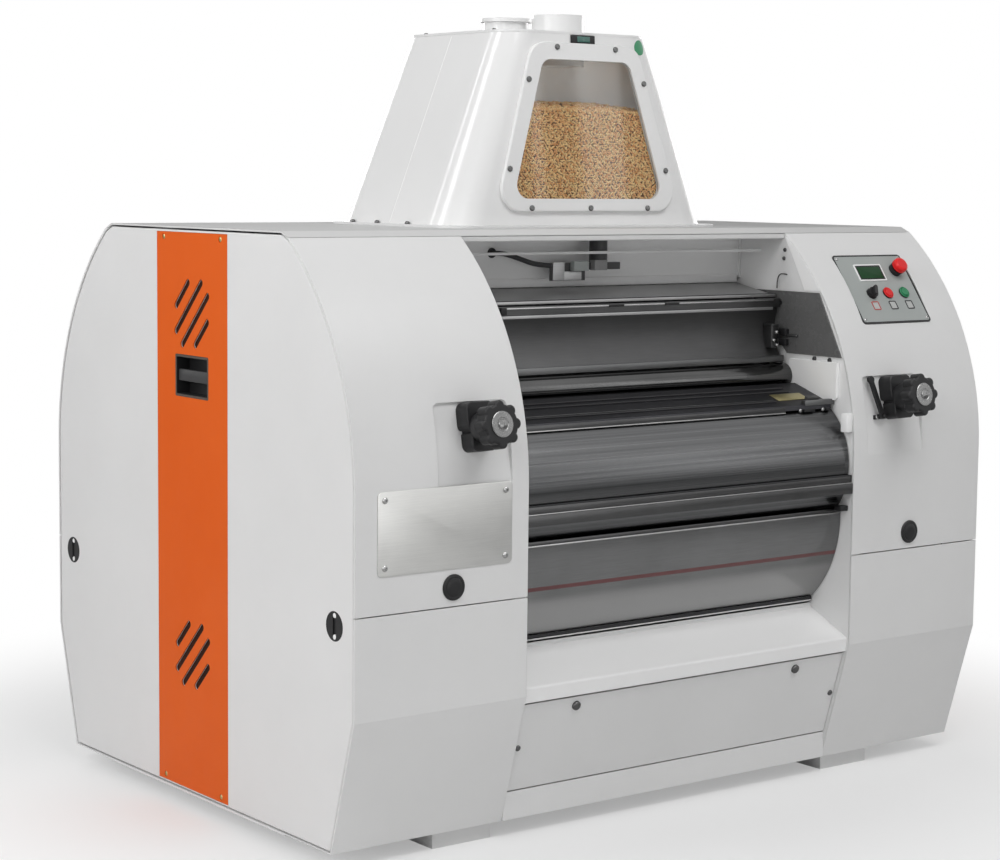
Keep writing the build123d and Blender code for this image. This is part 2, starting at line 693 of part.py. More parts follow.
# Lock lever beside the right front wheel, turning on a stud that stands on the pocket floor
LEVER_U = -47.0
LEVER_V = -40.0
LEVER_TIP_U = -75.5
LEVER_TIP_V = 48.5
LEVER_LIFT = 11.0
LEVER_T = 8.0
LEVER_PIN_R = 4.0
LEVER_W = 11.0
LEVER_EYE_R = 9.0
LEVER_NUT = 3.0
with BuildPart() as lock_lever:
    with BuildSketch(PAD.offset(LEVER_LIFT)):
        with BuildLine():
            spine = Line((LEVER_U, LEVER_V), (LEVER_TIP_U, LEVER_TIP_V))
        with Locations(spine @ 0.5):
            SlotOverall(spine.length + LEVER_W, LEVER_W,
                        rotation=degrees(atan2(LEVER_TIP_V - LEVER_V, LEVER_TIP_U - LEVER_U)))
        with Locations(spine @ 0, spine @ 1):
            Circle(LEVER_EYE_R)
        with Locations(spine @ 0):
            Circle(LEVER_PIN_R + RUN, mode=Mode.SUBTRACT)
    extrude(amount=LEVER_T)
save(lock_lever.part, "lock_lever")

# Control panel: a flat plate in an edge seal that fills the cover's cut-out
with BuildPart() as gasket:
    with BuildSketch(PANEL.offset(PANEL_BACK - GASKET_T)):
        RectangleRounded(PANEL_W + 2 * BORDER, PANEL_H + 2 * BORDER, PANEL_R + BORDER)
        Rectangle(PANEL_W - 2 * GASKET_W, PANEL_H - 2 * GASKET_W, mode=Mode.SUBTRACT)
    extrude(amount=GASKET_T + PANEL_T)
    with BuildSketch(PANEL.offset(PANEL_BACK)):
        RectangleRounded(PANEL_W + 2 * RUN, PANEL_H + 2 * RUN, PANEL_R)
    extrude(amount=CUT, mode=Mode.SUBTRACT)
save(gasket.part, "panel_gasket")

button_spots = [(RED_U - BUTTON_PITCH, BUTTON_ROW), (RED_U, BUTTON_ROW), (RED_U + BUTTON_PITCH, BUTTON_ROW)]
estop_spot = (ESTOP_U, ESTOP_V)
with BuildPart() as panel:
    with BuildSketch(PANEL.offset(PANEL_BACK)):
        RectangleRounded(PANEL_W, PANEL_H, PANEL_R)
        with Locations(*button_spots):
            Circle(BUTTON_R + 2 * RUN, mode=Mode.SUBTRACT)
        with Locations(estop_spot):
            Circle(ESTOP_STEM_R + 2 * RUN, mode=Mode.SUBTRACT)
    extrude(amount=PANEL_T)
save(panel.part, "control_panel")

with BuildPart() as bezels:
    with BuildSketch(PANEL.offset(PANEL_FACE)):
        with Locations(*button_spots):
            Circle(BEZEL_R)
            Circle(BUTTON_R + 2 * RUN, mode=Mode.SUBTRACT)
    extrude(amount=BEZEL_H)
    with BuildSketch(PANEL.offset(PANEL_FACE)):
        with Locations(estop_spot):
            Circle(ESTOP_COLLAR_R)
            Circle(ESTOP_STEM_R + 2 * RUN, mode=Mode.SUBTRACT)
    extrude(amount=ESTOP_COLLAR_H)
save(bezels.part, "button_bezels")


def push_button(spot):
    """A round push button that slides through its bezel and the plate."""
    with BuildPart() as button:
        with BuildSketch(PANEL.offset(PANEL_BACK - STEM_REACH)):
            with Locations(spot):
                Circle(BUTTON_R)
        extrude(amount=STEM_REACH + PANEL_T + BEZEL_H + BUTTON_RISE)
        fillet(face_towards(button.part, PANEL).edges(), BUTTON_EDGE)
    return button.part


save(push_button(button_spots[1]), "red_button")
save(push_button(button_spots[2]), "green_button")

SELECTOR_RIM_H = 6.0
SELECTOR_GRIP_W = 10.0
SELECTOR_GRIP_H = 12.0
SELECTOR_REST = 65.0
selector_base = PANEL_FACE + BEZEL_H + GAP
with BuildPart() as selector:
    with BuildSketch(PANEL.offset(PANEL_BACK - STEM_REACH)):
        with Locations(button_spots[0]):
            Circle(BUTTON_R)
    extrude(amount=STEM_REACH - PANEL_BACK + selector_base)
    with BuildSketch(PANEL.offset(selector_base)):
        with Locations(button_spots[0]):
            Circle(BEZEL_R - END_GAP)
    extrude(amount=SELECTOR_RIM_H)
    with BuildSketch(PANEL.offset(selector_base + SELECTOR_RIM_H)):
        with Locations(button_spots[0]):
            SlotOverall(2 * BEZEL_R, SELECTOR_GRIP_W, rotation=SELECTOR_REST)
    extrude(amount=SELECTOR_GRIP_H)
    fillet(face_towards(selector.part, PANEL).edges(), BUTTON_EDGE)
save(selector.part, "selector_knob")

with BuildPart() as estop:
    with BuildSketch(PANEL.offset(PANEL_BACK - STEM_REACH)):
        with Locations(estop_spot):
            Circle(ESTOP_STEM_R)
    extrude(amount=STEM_REACH + PANEL_T + ESTOP_COLLAR_H + ESTOP_TRAVEL)
    with BuildSketch(PANEL.offset(PANEL_FACE + ESTOP_COLLAR_H + ESTOP_TRAVEL)):
        with Locations(estop_spot):
            Circle(ESTOP_R)
    extrude(amount=ESTOP_HEAD_H)
    fillet(face_towards(estop.part, PANEL).edges(), ESTOP_EDGE)
save(estop.part, "estop_button")


# Grinding rolls with their journals
front_outer = (-OUTER_OUT, OUTER_Z)
front_inner = (-INNER_OUT, INNER_Z)
GEAR_END = GEAR_X + GEAR_W + SHAFT_END
PULLEY_W = PULLEY_GROOVES * GROOVE_PITCH + 2 * PULLEY_RIM
PULLEY_END = GEAR_X + PULLEY_W + SHAFT_END
outer_roll = rods_along_x(front_outer, [(-BARREL_HALF, BARREL_HALF, ROLL_R),
                                        (-FRAME_END - BEARING_W - 2 * SHAFT_END, GEAR_END, JOURNAL_R)])
inner_roll = rods_along_x(front_inner, [(-BARREL_HALF, BARREL_HALF, ROLL_R),
                                        (-PULLEY_END, GEAR_END, JOURNAL_R)])
save(outer_roll, "front_outer_roll")
save(mirrored(outer_roll, FRONT_REAR), "rear_outer_roll")
save(inner_roll, "front_inner_roll")
save(mirrored(inner_roll, FRONT_REAR), "rear_inner_roll")


def involute(radius, base):
    """Involute angle at a radius, for a flank that starts on the base circle."""
    pressure = acos(min(1.0, base / radius))
    return tan(pressure) - pressure


def gear(teeth, centre, phase):
    """A spur gear along X, with a tooth centred on the phase angle in the YZ plane."""
    pitch = GEAR_MODULE * teeth / 2
    base = pitch * cos(radians(PRESSURE))
    tip = pitch + ADDENDUM * GEAR_MODULE
    root = pitch - DEDENDUM * GEAR_MODULE
    half_pitch = (pi * GEAR_MODULE / 2 - BACKLASH / 2) / 2 / pitch + involute(pitch, base)
    half_tip = half_pitch - involute(tip, base)
    half_root = half_pitch - involute(max(root, base), base)
    points = []
    for tooth in range(teeth):
        middle = phase + tooth * 2 * pi / teeth
        for radius, turn in ((root, -half_root), (tip, -half_tip), (tip, half_tip), (root, half_root)):
            points.append((centre[0] + radius * cos(middle + turn), centre[1] + radius * sin(middle + turn)))
    with BuildPart() as wheel_gear:
        with BuildSketch(Plane.YZ.offset(GEAR_X)):
            with BuildLine():
                Polyline(*points, close=True)
            make_face()
            with Locations(centre):
                Circle(JOURNAL_R + RUN, mode=Mode.SUBTRACT)
        extrude(amount=GEAR_W)
    return wheel_gear.part


# Gears of unequal size, a tooth of one facing a gap of the other on the line between the rolls
to_inner = radians(NIP_ANGLE)
outer_gear = gear(OUTER_TEETH, front_outer, to_inner)
inner_gear = gear(INNER_TEETH, front_inner, to_inner + pi + pi / INNER_TEETH)
save(outer_gear, "front_outer_gear")
save(mirrored(outer_gear, FRONT_REAR), "rear_outer_gear")

# Drive on each inner roll: its gear on the right and a grooved belt pulley on the left
groove_points = [(-GEAR_X, JOURNAL_R + RUN), (-GEAR_X, PULLEY_R)]
for groove in range(PULLEY_GROOVES):
    x = -GEAR_X - PULLEY_RIM - (groove + 0.5) * GROOVE_PITCH
    groove_points += [(x + GROOVE_TOP / 2, PULLEY_R), (x + GROOVE_LOW / 2, PULLEY_R - GROOVE_D),
                      (x - GROOVE_LOW / 2, PULLEY_R - GROOVE_D), (x - GROOVE_TOP / 2, PULLEY_R)]
groove_points += [(-GEAR_X - PULLEY_W, PULLEY_R), (-GEAR_X - PULLEY_W, JOURNAL_R + RUN)]
with BuildPart() as inner_drive:
    with BuildSketch(Plane((0, front_inner[0], front_inner[1]), x_dir=(1, 0, 0), z_dir=(0, -1, 0))):
        with BuildLine():
            Polyline(*groove_points, close=True)
        make_face()
    revolve(axis=Axis((0, front_inner[0], front_inner[1]), (1, 0, 0)))
    add(inner_gear)
save(inner_drive.part, "front_inner_drive")
save(mirrored(inner_drive.part, FRONT_REAR), "rear_inner_drive")

# Bearings: fixed housings for the outer rolls, sliding blocks for the inner rolls
with BuildPart() as outer_bearings:
    for side in (-1, 1):
        for end in (-1, 1):
            with BuildSketch(Plane.YZ.offset(side * FRAME_END)):
                with Locations((end * OUTER_OUT, OUTER_Z)):
                    Circle(BEARING_R)
                    Circle(JOURNAL_R + RUN, mode=Mode.SUBTRACT)
            extrude(amount=side * BEARING_W)
save(outer_bearings.part, "outer_bearings")

with BuildPart() as carriage:
    for side in (-1, 1):
        with BuildSketch(Plane.YZ.offset(side * BLOCK_X)):
            with Locations(Location((front_inner[0], front_inner[1], 0), (0, 0, NIP_ANGLE))):
                Rectangle(2 * BLOCK_HALF, 2 * BLOCK_HALF)
            with Locations(front_inner):
                Circle(JOURNAL_R + RUN, mode=Mode.SUBTRACT)
        extrude(amount=side * (BLOCK_W - 2 * BLOCK_GAP))
save(carriage.part, "front_carriage")
save(mirrored(carriage.part, FRONT_REAR), "rear_carriage")

# Feed: roll, geared motor, tray, hinged gate bar and concave apron
feed_centre = (-FEED_OUT, FEED_Z)
feed_roll = rods_along_x(feed_centre, [(-FEED_PLATE_HALF, FEED_PLATE_HALF, FEED_R),
                                       (-FRAME_END + FEED_TAIL, FRAME_END + FEED_STUB, FEED_SHAFT_R)])
save(feed_roll, "front_feed_roll")
save(mirrored(feed_roll, FRONT_REAR), "rear_feed_roll")

with BuildPart() as feed_motors:
    with BuildSketch(Plane.YZ.offset(FRAME_END + GAP)):
        with Locations(feed_centre):
            RectangleRounded(GEARBOX, GEARBOX, GEARBOX_R)
    extrude(amount=GEARBOX_W)
    with BuildSketch(Plane.YZ.offset(FRAME_END + GAP)):
        with Locations(feed_centre):
            Circle(FEED_SHAFT_R + RUN)
    extrude(amount=FEED_STUB + FEED_TAIL, mode=Mode.SUBTRACT)
    with BuildSketch(Plane.YZ.offset(FRAME_END + GAP + GEARBOX_W)):
        with Locations(feed_centre):
            Circle(MOTOR_R)
    extrude(amount=MOTOR_L)
    mirror(about=FRONT_REAR)
save(feed_motors.part, "feed_motors")

with BuildPart() as feed_plates:
    tray_line = [(-tray_out, ROOF_Z - ROOF_T), (-GATE_OUT + TRAY_LIP_IN, GATE_Z + TRAY_LIP_UP)]
    add(sheet_along_x(tray_line, FEED_SHEET, Side.LEFT, -FEED_PLATE_HALF, FEED_PLATE_HALF))
    with BuildSketch(Plane.YZ.offset(-FEED_PLATE_HALF)):
        with BuildLine():
            sweep_line = ThreePointArc((-GATE_OUT + SHEET, GATE_Z - TRAY_LIP_IN),
                                       (-GATE_OUT + SWEEP_IN, GATE_Z - SWEEP_DROP),
                                       (-FEED_OUT + FEED_SHEET, FEED_Z + FEED_R + SMALL_R))
            offset(sweep_line, amount=FEED_SHEET, side=Side.LEFT)
        make_face()
    extrude(amount=2 * FEED_PLATE_HALF)
    mirror(about=FRONT_REAR)
save(feed_plates.part, "feed_plates")

with BuildPart() as feed_gate:
    with BuildSketch(Plane.YZ.offset(-FEED_PLATE_HALF)):
        with Locations((-GATE_OUT, GATE_Z)):
            RectangleRounded(GATE_T, GATE_H, HEADER_R)
    extrude(amount=2 * FEED_PLATE_HALF)
    with BuildSketch(Plane.YZ.offset(-FRAME_END + PIN_TAIL)):
        with Locations((-GATE_OUT, GATE_Z)):
            Circle(GATE_PIN_R)
    extrude(amount=2 * (FRAME_END - PIN_TAIL))
save(feed_gate.part, "front_feed_gate")
save(mirrored(feed_gate.part, FRONT_REAR), "rear_feed_gate")

# Roll guards: a sloped hood over each outer roll and a ledged bar in front of it
with BuildPart() as roll_guards:
    add(sheet_along_x(HOOD_LINE, FEED_SHEET, Side.RIGHT, -FEED_PLATE_HALF, FEED_PLATE_HALF))
    with BuildSketch(Plane.YZ.offset(-SPAN)):
        with BuildLine():
            Polyline((-BAR_OUT + BAR_T, BAR_LOW), (-BAR_OUT + BAR_T, BAR_HIGH),
                     (-BAR_OUT + LEDGE_T, BAR_HIGH), (-BAR_OUT + LEDGE_T, LEDGE_Z),
                     (-BAR_OUT, LEDGE_Z - LEDGE_DROP), (-BAR_OUT, BAR_LOW), close=True)
        make_face()
    extrude(amount=2 * SPAN)
    mirror(about=FRONT_REAR)
save(roll_guards.part, "roll_guards")

# Lower guard: a curved sheet on a hinge tube, which drops forward to reach the roll
chord = sqrt((GUARD_TOP_OUT - GUARD_PIVOT_OUT) ** 2 + (GUARD_TOP_Z - GUARD_PIVOT_Z) ** 2)
middle_out = (GUARD_TOP_OUT + GUARD_PIVOT_OUT) / 2 + GUARD_SAG * (GUARD_TOP_Z - GUARD_PIVOT_Z) / chord
middle_z = (GUARD_TOP_Z + GUARD_PIVOT_Z) / 2 - GUARD_SAG * (GUARD_TOP_OUT - GUARD_PIVOT_OUT) / chord
with BuildPart() as lower_guard:
    with BuildSketch(Plane.YZ.offset(-SPAN + END_GAP)):
        with BuildLine():
            guard_line = ThreePointArc((-GUARD_PIVOT_OUT - SMALL_R, GUARD_PIVOT_Z + SMALL_R),
                                       (-middle_out, middle_z), (-GUARD_TOP_OUT, GUARD_TOP_Z))
            offset(guard_line, amount=FEED_SHEET, side=Side.RIGHT)
        make_face()
        with Locations((-GUARD_PIVOT_OUT, GUARD_PIVOT_Z)):
            Circle(HINGE_R)
    extrude(amount=2 * (SPAN - END_GAP))
    with BuildSketch(Plane.YZ.offset(-FRAME_END + PIN_TAIL)):
        with Locations((-GUARD_PIVOT_OUT, GUARD_PIVOT_Z)):
            Circle(HINGE_PIN_R)
    extrude(amount=2 * (FRAME_END - PIN_TAIL))
save(lower_guard.part, "front_lower_guard")
save(mirrored(lower_guard.part, FRONT_REAR), "rear_lower_guard")

# Aprons: white sheets that slope out under the guards and turn down at the front
with BuildPart() as aprons:
    apron_line = [(-GUARD_PIVOT_OUT + APRON_TUCK, GUARD_PIVOT_Z - APRON_BELOW), (-APRON_OUT, APRON_Z),
                  (-APRON_OUT + SMALL_R, APRON_Z - APRON_LIP)]
    add(sheet_along_x(apron_line, SHEET, Side.LEFT, -SPAN, SPAN, bend=APRON_BEND))
    mirror(about=FRONT_REAR)
save(aprons.part, "aprons")

# Lower panels: flanged trays that close the base between the cabinets
PANEL_TOP = 313.0
PANEL_LOW = 107.0
TRAY_D = 18.0
LOWER_SET = 12.0
TRAY_HALF = SPAN - 2 * END_GAP
lower_mid = (PANEL_TOP + PANEL_LOW) / 2
lower_out = FACE_HALF - (KNEE_Z - lower_mid) * tan(LOWER_TILT) - LOWER_SET
LOWER = Plane((0, -lower_out, lower_mid), x_dir=(1, 0, 0), z_dir=(0, -cos(LOWER_TILT), -sin(LOWER_TILT)))
TRAY_H = (PANEL_TOP - PANEL_LOW) / cos(LOWER_TILT)
with BuildPart() as lower_panels:
    with BuildSketch(LOWER.offset(-TRAY_D)):
        Rectangle(2 * TRAY_HALF, TRAY_H)
    extrude(amount=TRAY_D)
    with BuildSketch(LOWER.offset(-TRAY_D)):
        Rectangle(2 * (TRAY_HALF - SHEET), TRAY_H - 2 * SHEET)
    extrude(amount=TRAY_D - SHEET, mode=Mode.SUBTRACT)
    mirror(about=FRONT_REAR)
save(lower_panels.part, "lower_panels")

# Drive guards: smoked plates on the right wall, beside the ends of the feed parts
GUARD_PLATE_T = 4.0
GUARD_PLATE_BACK = 290.0
GUARD_PLATE_INSET = 7.0
GUARD_PLATE_LOW = 1036.0
GUARD_PLATE_HIGH = 1190.0
guard_top_out = cover_out(GUARD_PLATE_HIGH) - GUARD_PLATE_INSET
guard_low_out = cover_out(GUARD_PLATE_LOW) - GUARD_PLATE_INSET
with BuildPart() as drive_guards:
    with BuildSketch(Plane.YZ.offset(HALF_OPEN - GUARD_PLATE_T - GAP)):
        with BuildLine():
            Polyline((-GUARD_PLATE_BACK, GUARD_PLATE_HIGH), (-guard_top_out, GUARD_PLATE_HIGH),
                     (-guard_low_out, GUARD_PLATE_LOW), (-FEED_OUT - SMALL_R, GUARD_PLATE_LOW), close=True)
        make_face()
        with Locations((-GATE_OUT, GATE_Z)):
            Circle(GATE_PIN_R + SPINDLE_CLEAR, mode=Mode.SUBTRACT)
    extrude(amount=GUARD_PLATE_T)
    mirror(about=FRONT_REAR)
save(drive_guards.part, "drive_guards")

# Level sensor hung from the deck in the front feed chamber, and its lead to the baffle behind it
SENSOR_X = -8.5
SENSOR_Y = -300.0
SENSOR_R = 22.0
SENSOR_LOW = 1264.0
ARM_LOW_X = -56.0
ARM_HIGH_X = 54.0
ARM_LOW_Z = 1247.0
ARM_W = 16.0
ANGLE_LOW_X = -147.0
ANGLE_HIGH_X = -59.0
ANGLE_LOW_Z = 1222.0
ANGLE_W = 6.0
SENSOR_TOP = DECK_Z - DECK_T
with BuildPart() as level_sensor:
    with Locations((SENSOR_X, SENSOR_Y, SENSOR_TOP)):
        Cylinder(SENSOR_R, SENSOR_TOP - SENSOR_LOW, align=TOP_ALIGN)
    with Locations(((ARM_LOW_X + ARM_HIGH_X) / 2, SENSOR_Y, (ARM_LOW_Z + SENSOR_LOW) / 2)):
        Box(ARM_HIGH_X - ARM_LOW_X, ARM_W, SENSOR_LOW - ARM_LOW_Z)
    with Locations(((ANGLE_LOW_X + ANGLE_HIGH_X) / 2, SENSOR_Y, (ANGLE_LOW_Z + SENSOR_LOW) / 2)):
        Box(ANGLE_HIGH_X - ANGLE_LOW_X + ARM_W, ANGLE_W, SENSOR_LOW - ANGLE_LOW_Z)
save(level_sensor.part, "level_sensor")

LEAD_R = 6.0
LEAD_BEND = 25.0
LEAD_START_X = -156.0
LEAD_Z = 1258.0
LEAD_RISE = ((-200.0, 3.0), (-255.0, 20.0), (-292.0, 30.0))
lead_end_x, lead_end_rise = LEAD_RISE[-1]
lead_points = [(LEAD_START_X, SENSOR_Y, LEAD_Z)]
lead_points += [(x, SENSOR_Y, LEAD_Z + rise) for x, rise in LEAD_RISE]
lead_points += [(lead_end_x, -tray_out - SHEET / 2 - GAP, LEAD_Z + lead_end_rise)]
with BuildPart() as sensor_lead:
    with BuildLine():
        lead_path = FilletPolyline(*lead_points, radius=LEAD_BEND)
    with BuildSketch(Plane(lead_path @ 0, z_dir=lead_path % 0)):
        Circle(LEAD_R)
    sweep()
print("lead length", round(lead_path.length, 1))
save(sensor_lead.part, "sensor_lead")

# End covers: shallow trays set inside the cabinet lips, with a strip let in down the middle
VENT_ROWS = ((-1.5, VENT_SHORT), (-0.5, VENT_LONG), (0.5, VENT_LONG), (1.5, VENT_SHORT))


def strip_cutter(x_low, x_high):
    """A block along X with the outlines of the slanted vents and of the pull's rectangle."""
    with BuildPart() as cutter:
        with BuildSketch(Plane.YZ.offset(x_low)):
            for z in VENT_Z:
                for row, length in VENT_ROWS:
                    shift = row * VENT_PITCH * sin(radians(VENT_SLANT))
                    with Locations(Location((-shift, z - shift, 0), (0, 0, -VENT_SLANT))):
                        SlotOverall(length, VENT_W)
            with Locations((0, PULL_Z)):
                RectangleRounded(PULL_W, PULL_H, SMALL_R)
        extrude(amount=x_high - x_low)
    return cutter.part


END_IN = LENGTH / 2 - END_T
with BuildPart() as end_cover:
    add(profile_block(END_INSET, END_IN, LENGTH / 2))
    fillet(end_cover.faces().sort_by(Axis.X)[-1].edges(), SMALL_R)
    add(profile_block(END_INSET + SHEET, END_IN - END_GAP, LENGTH / 2 - END_SKIN), mode=Mode.SUBTRACT)
    with Locations((LENGTH / 2 - STRIPE_T / 2, 0, STRIPE_MID)):
        Box(STRIPE_T, STRIPE_W + 2 * GAP, STRIPE_L + 2 * GAP, mode=Mode.SUBTRACT)
    add(strip_cutter(END_IN - END_GAP, LENGTH / 2 + END_GAP), mode=Mode.SUBTRACT)
    with BuildSketch(Plane.YZ.offset(END_IN - END_GAP)):
        for end in (-1, 1):
            with Locations((end * LATCH_OUT, LATCH_Z)):
                Circle(LATCH_R + 2 * RUN)
    extrude(amount=END_T + 2 * END_GAP, mode=Mode.SUBTRACT)
save(end_cover.part, "right_end_cover")
save(mirrored(end_cover.part, LEFT_RIGHT), "left_end_cover")

with BuildPart() as stripe:
    with BuildSketch(Plane.YZ.offset(LENGTH / 2 - STRIPE_T)):
        with Locations((0, STRIPE_MID)):
            Rectangle(STRIPE_W, STRIPE_L)
            with GridLocations(2 * STRIPE_SCREW_OUT, STRIPE_L - 2 * STRIPE_SCREW_IN, 2, 2):
                Circle(STRIPE_SCREW_R, mode=Mode.SUBTRACT)
    extrude(amount=STRIPE_T)
    add(strip_cutter(LENGTH / 2 - 2 * STRIPE_T, LENGTH / 2 + END_GAP), mode=Mode.SUBTRACT)
save(stripe.part, "right_stripe")
save(mirrored(stripe.part, LEFT_RIGHT), "left_stripe")

# Latches: quarter-turn discs in the end covers, with studs that pass the cover flanges
with BuildPart() as latch:
    with BuildSketch(Plane.YZ.offset(LENGTH / 2 - END_SKIN - LATCH_BACK)):
        with Locations((-LATCH_OUT, LATCH_Z)):
            Circle(LATCH_R)
    extrude(amount=END_SKIN + LATCH_BACK)
    with BuildSketch(Plane.YZ.offset(LENGTH / 2 - END_SKIN - LATCH_BACK - STUD_L)):
        with Locations((-LATCH_OUT, LATCH_Z)):
            Circle(STUD_R)
    extrude(amount=STUD_L)
    with BuildSketch(Plane.YZ.offset(LENGTH / 2 - KEY_D)):
        with Locations((-LATCH_OUT, LATCH_Z)):
            SlotOverall(KEY_L, KEY_W, rotation=90)
    extrude(amount=KEY_D + END_GAP, mode=Mode.SUBTRACT)
save(latch.part, "right_front_latch")
save(mirrored(latch.part, LEFT_RIGHT), "left_front_latch")
rear_latch = mirrored(latch.part, FRONT_REAR)
save(rear_latch, "right_rear_latch")
save(mirrored(rear_latch, LEFT_RIGHT), "left_rear_latch")


DOME_SHARE = 0.6


def dome_screw(plane, spot, radius, height):
    """A low domed screw head that stands on a plane."""
    with BuildPart() as screw:
        with BuildSketch(plane):
            with Locations(spot):
                Circle(radius)
        extrude(amount=height)
        fillet(face_towards(screw.part, plane).edges(), height * DOME_SHARE)
    return screw.part


# Screws: window dome heads, hopper flange bolts, panel screws and the lever's pivot stud
WINDOW_SCREW = (7.0, 4.0)
FLANGE_BOLT = (6.0, 7.0)
FLANGE_BOLTS = (-85.0, 42.0, 147.0)
PANEL_SCREW = (3.5, 2.0)
PANEL_SCREW_INSET = 7.0
TRAY_SCREW = (11.0, 7.0)
TRAY_SCREW_U = 340.0
TRAY_SCREW_DROP = 22.0
SIDE_SCREW = (7.0, 4.0)
SIDE_SCREW_INSET = 14.0
RIM_SCREW_SHARE = 0.72
LOW_SCREWS = (-180.0, 0.0, 180.0)
HIGH_SCREWS = (-90.0, 90.0)
FLANK_SCREWS = ((1484.0, 242.0), (1695.0, 178.0))
window_low = (GLASS_LOW_Z - HOPPER_Z) / cos(HOPPER_TILT) - RIM_LOW * RIM_SCREW_SHARE
window_high = (GLASS_HIGH_Z - HOPPER_Z) / cos(HOPPER_TILT) + RIM * RIM_SCREW_SHARE
window_spots = [(u, window_low) for u in LOW_SCREWS]
window_spots += [(u, window_high) for u in HIGH_SCREWS]
for z, half in FLANK_SCREWS:
    window_spots += [(-half, z - HOPPER_Z), (half, z - HOPPER_Z)]
flange_x = (HOPPER_BASE_X + FLANGE_W) / 2
panel_u = PANEL_W / 2 - PANEL_SCREW_INSET
panel_v = PANEL_H / 2 - PANEL_SCREW_INSET
with BuildPart() as screws:
    for spot in window_spots:
        add(dome_screw(WINDOW.offset(RIM_T + GAP / 10), spot, *WINDOW_SCREW))
    for bolt_y in FLANGE_BOLTS:
        for side in (-1, 1):
            bolt_spot = (side * flange_x, bolt_y)
            add(dome_screw(Plane.XY.offset(HOPPER_Z + GAP / 10), bolt_spot, *FLANGE_BOLT))
    for u in (-1, 1):
        for v in (-1, 1):
            add(dome_screw(PANEL.offset(PANEL_FACE + GAP / 10), (u * panel_u, v * panel_v), *PANEL_SCREW))
        add(dome_screw(LOWER.offset(GAP / 10), (u * TRAY_SCREW_U, TRAY_H / 2 - TRAY_SCREW_DROP), *TRAY_SCREW))
        add(dome_screw(LOWER.offset(GAP / 10), (u * (SPAN - SIDE_SCREW_INSET), 0), *SIDE_SCREW))
    with BuildSketch(PAD.offset(GAP / 5)):
        with Locations((LEVER_U, LEVER_V)):
            Circle(LEVER_PIN_R)
    extrude(amount=LEVER_LIFT + LEVER_T + LEVER_NUT)
save(screws.part, "screws")
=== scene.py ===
# %% [markdown]
# # A four-roll flour mill, finished in Blender
# The CAD model gives the mill's real sizes and its moving bodies. This lesson loads it as a fixed
# frame, gives its nodes finishes made of shader nodes, and adds the small pieces that the frame
# doesn't hold: caps, screws, plates, a display, grain. Lengths are in metres, X runs along the
# rolls, -Y is the operator's side and Z is up.

# %% Load the frame
import json
import random
from math import atan2, cos, hypot, pi, radians, sin

import bmesh
import bpy
from mathutils import Matrix, Vector

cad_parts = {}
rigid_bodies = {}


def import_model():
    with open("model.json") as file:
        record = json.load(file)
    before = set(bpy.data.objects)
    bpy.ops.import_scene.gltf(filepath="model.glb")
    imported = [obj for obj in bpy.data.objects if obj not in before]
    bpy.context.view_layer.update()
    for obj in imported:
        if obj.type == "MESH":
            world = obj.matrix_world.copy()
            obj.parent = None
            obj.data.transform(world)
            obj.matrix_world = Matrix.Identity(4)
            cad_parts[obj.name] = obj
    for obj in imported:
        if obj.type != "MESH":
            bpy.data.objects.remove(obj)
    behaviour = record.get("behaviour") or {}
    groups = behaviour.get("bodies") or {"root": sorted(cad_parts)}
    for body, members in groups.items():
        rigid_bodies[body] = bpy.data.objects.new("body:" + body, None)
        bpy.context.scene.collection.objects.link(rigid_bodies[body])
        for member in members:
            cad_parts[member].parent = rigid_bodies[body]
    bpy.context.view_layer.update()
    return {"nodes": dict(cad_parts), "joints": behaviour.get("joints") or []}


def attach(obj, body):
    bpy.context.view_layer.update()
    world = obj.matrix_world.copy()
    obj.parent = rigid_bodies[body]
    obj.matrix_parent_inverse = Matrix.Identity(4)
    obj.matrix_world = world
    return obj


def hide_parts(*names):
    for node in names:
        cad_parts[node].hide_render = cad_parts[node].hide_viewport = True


for leftover in list(bpy.data.objects):
    bpy.data.objects.remove(leftover)
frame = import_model()
nodes = frame["nodes"]
scene = bpy.context.scene
MM = 0.001


def add_object(name, data):
    """An object for a mesh, curve, lamp or camera, linked to the scene."""
    made = bpy.data.objects.new(name, data)
    scene.collection.objects.link(made)
    return made


# %% [markdown]
# ## Camera
# The photograph's camera was solved from the mill's own edges: where it stood, its yaw, pitch and
# roll, and its focal length. A camera could be aimed with a constraint, but building its matrix from
# the three angles keeps it exact. A small vertical shift takes up the crop of the picture.

# %% Camera
CAMERA_AT = Vector((-3.54075, -4.55896, 1.46667))
YAW, PITCH, ROLL = 0.6506, 0.1035, 0.0106
FOCAL_PX, WIDTH_PX, CENTRE_SHIFT_PX = 2301.7, 1000, -14.7
SENSOR_MM = 36

forward = Vector((sin(YAW) * cos(PITCH), cos(YAW) * cos(PITCH), -sin(PITCH)))
right = Vector((cos(YAW), -sin(YAW), 0))
upward = right.cross(forward)
side_axis = right * cos(ROLL) + upward * sin(ROLL)
up_axis = upward * cos(ROLL) - right * sin(ROLL)
stance = Matrix((side_axis, up_axis, -forward)).transposed().to_4x4()
stance.translation = CAMERA_AT
lens = bpy.data.cameras.new("photo_camera")
lens.sensor_width = SENSOR_MM
lens.lens = FOCAL_PX * SENSOR_MM / WIDTH_PX
lens.shift_y = CENTRE_SHIFT_PX / WIDTH_PX
camera = add_object("photo_camera", lens)
camera.matrix_world = stance
scene.camera = camera
scene.view_settings.view_transform = "Standard"
print("lens", round(lens.lens, 2), "mm")

# %% [markdown]
# ## Shader helpers
# A finish is a Principled shader with a few texture nodes. One helper adds a node and either sets
# its sockets or links them, so that each finish below reads as a short list of what it is made of.


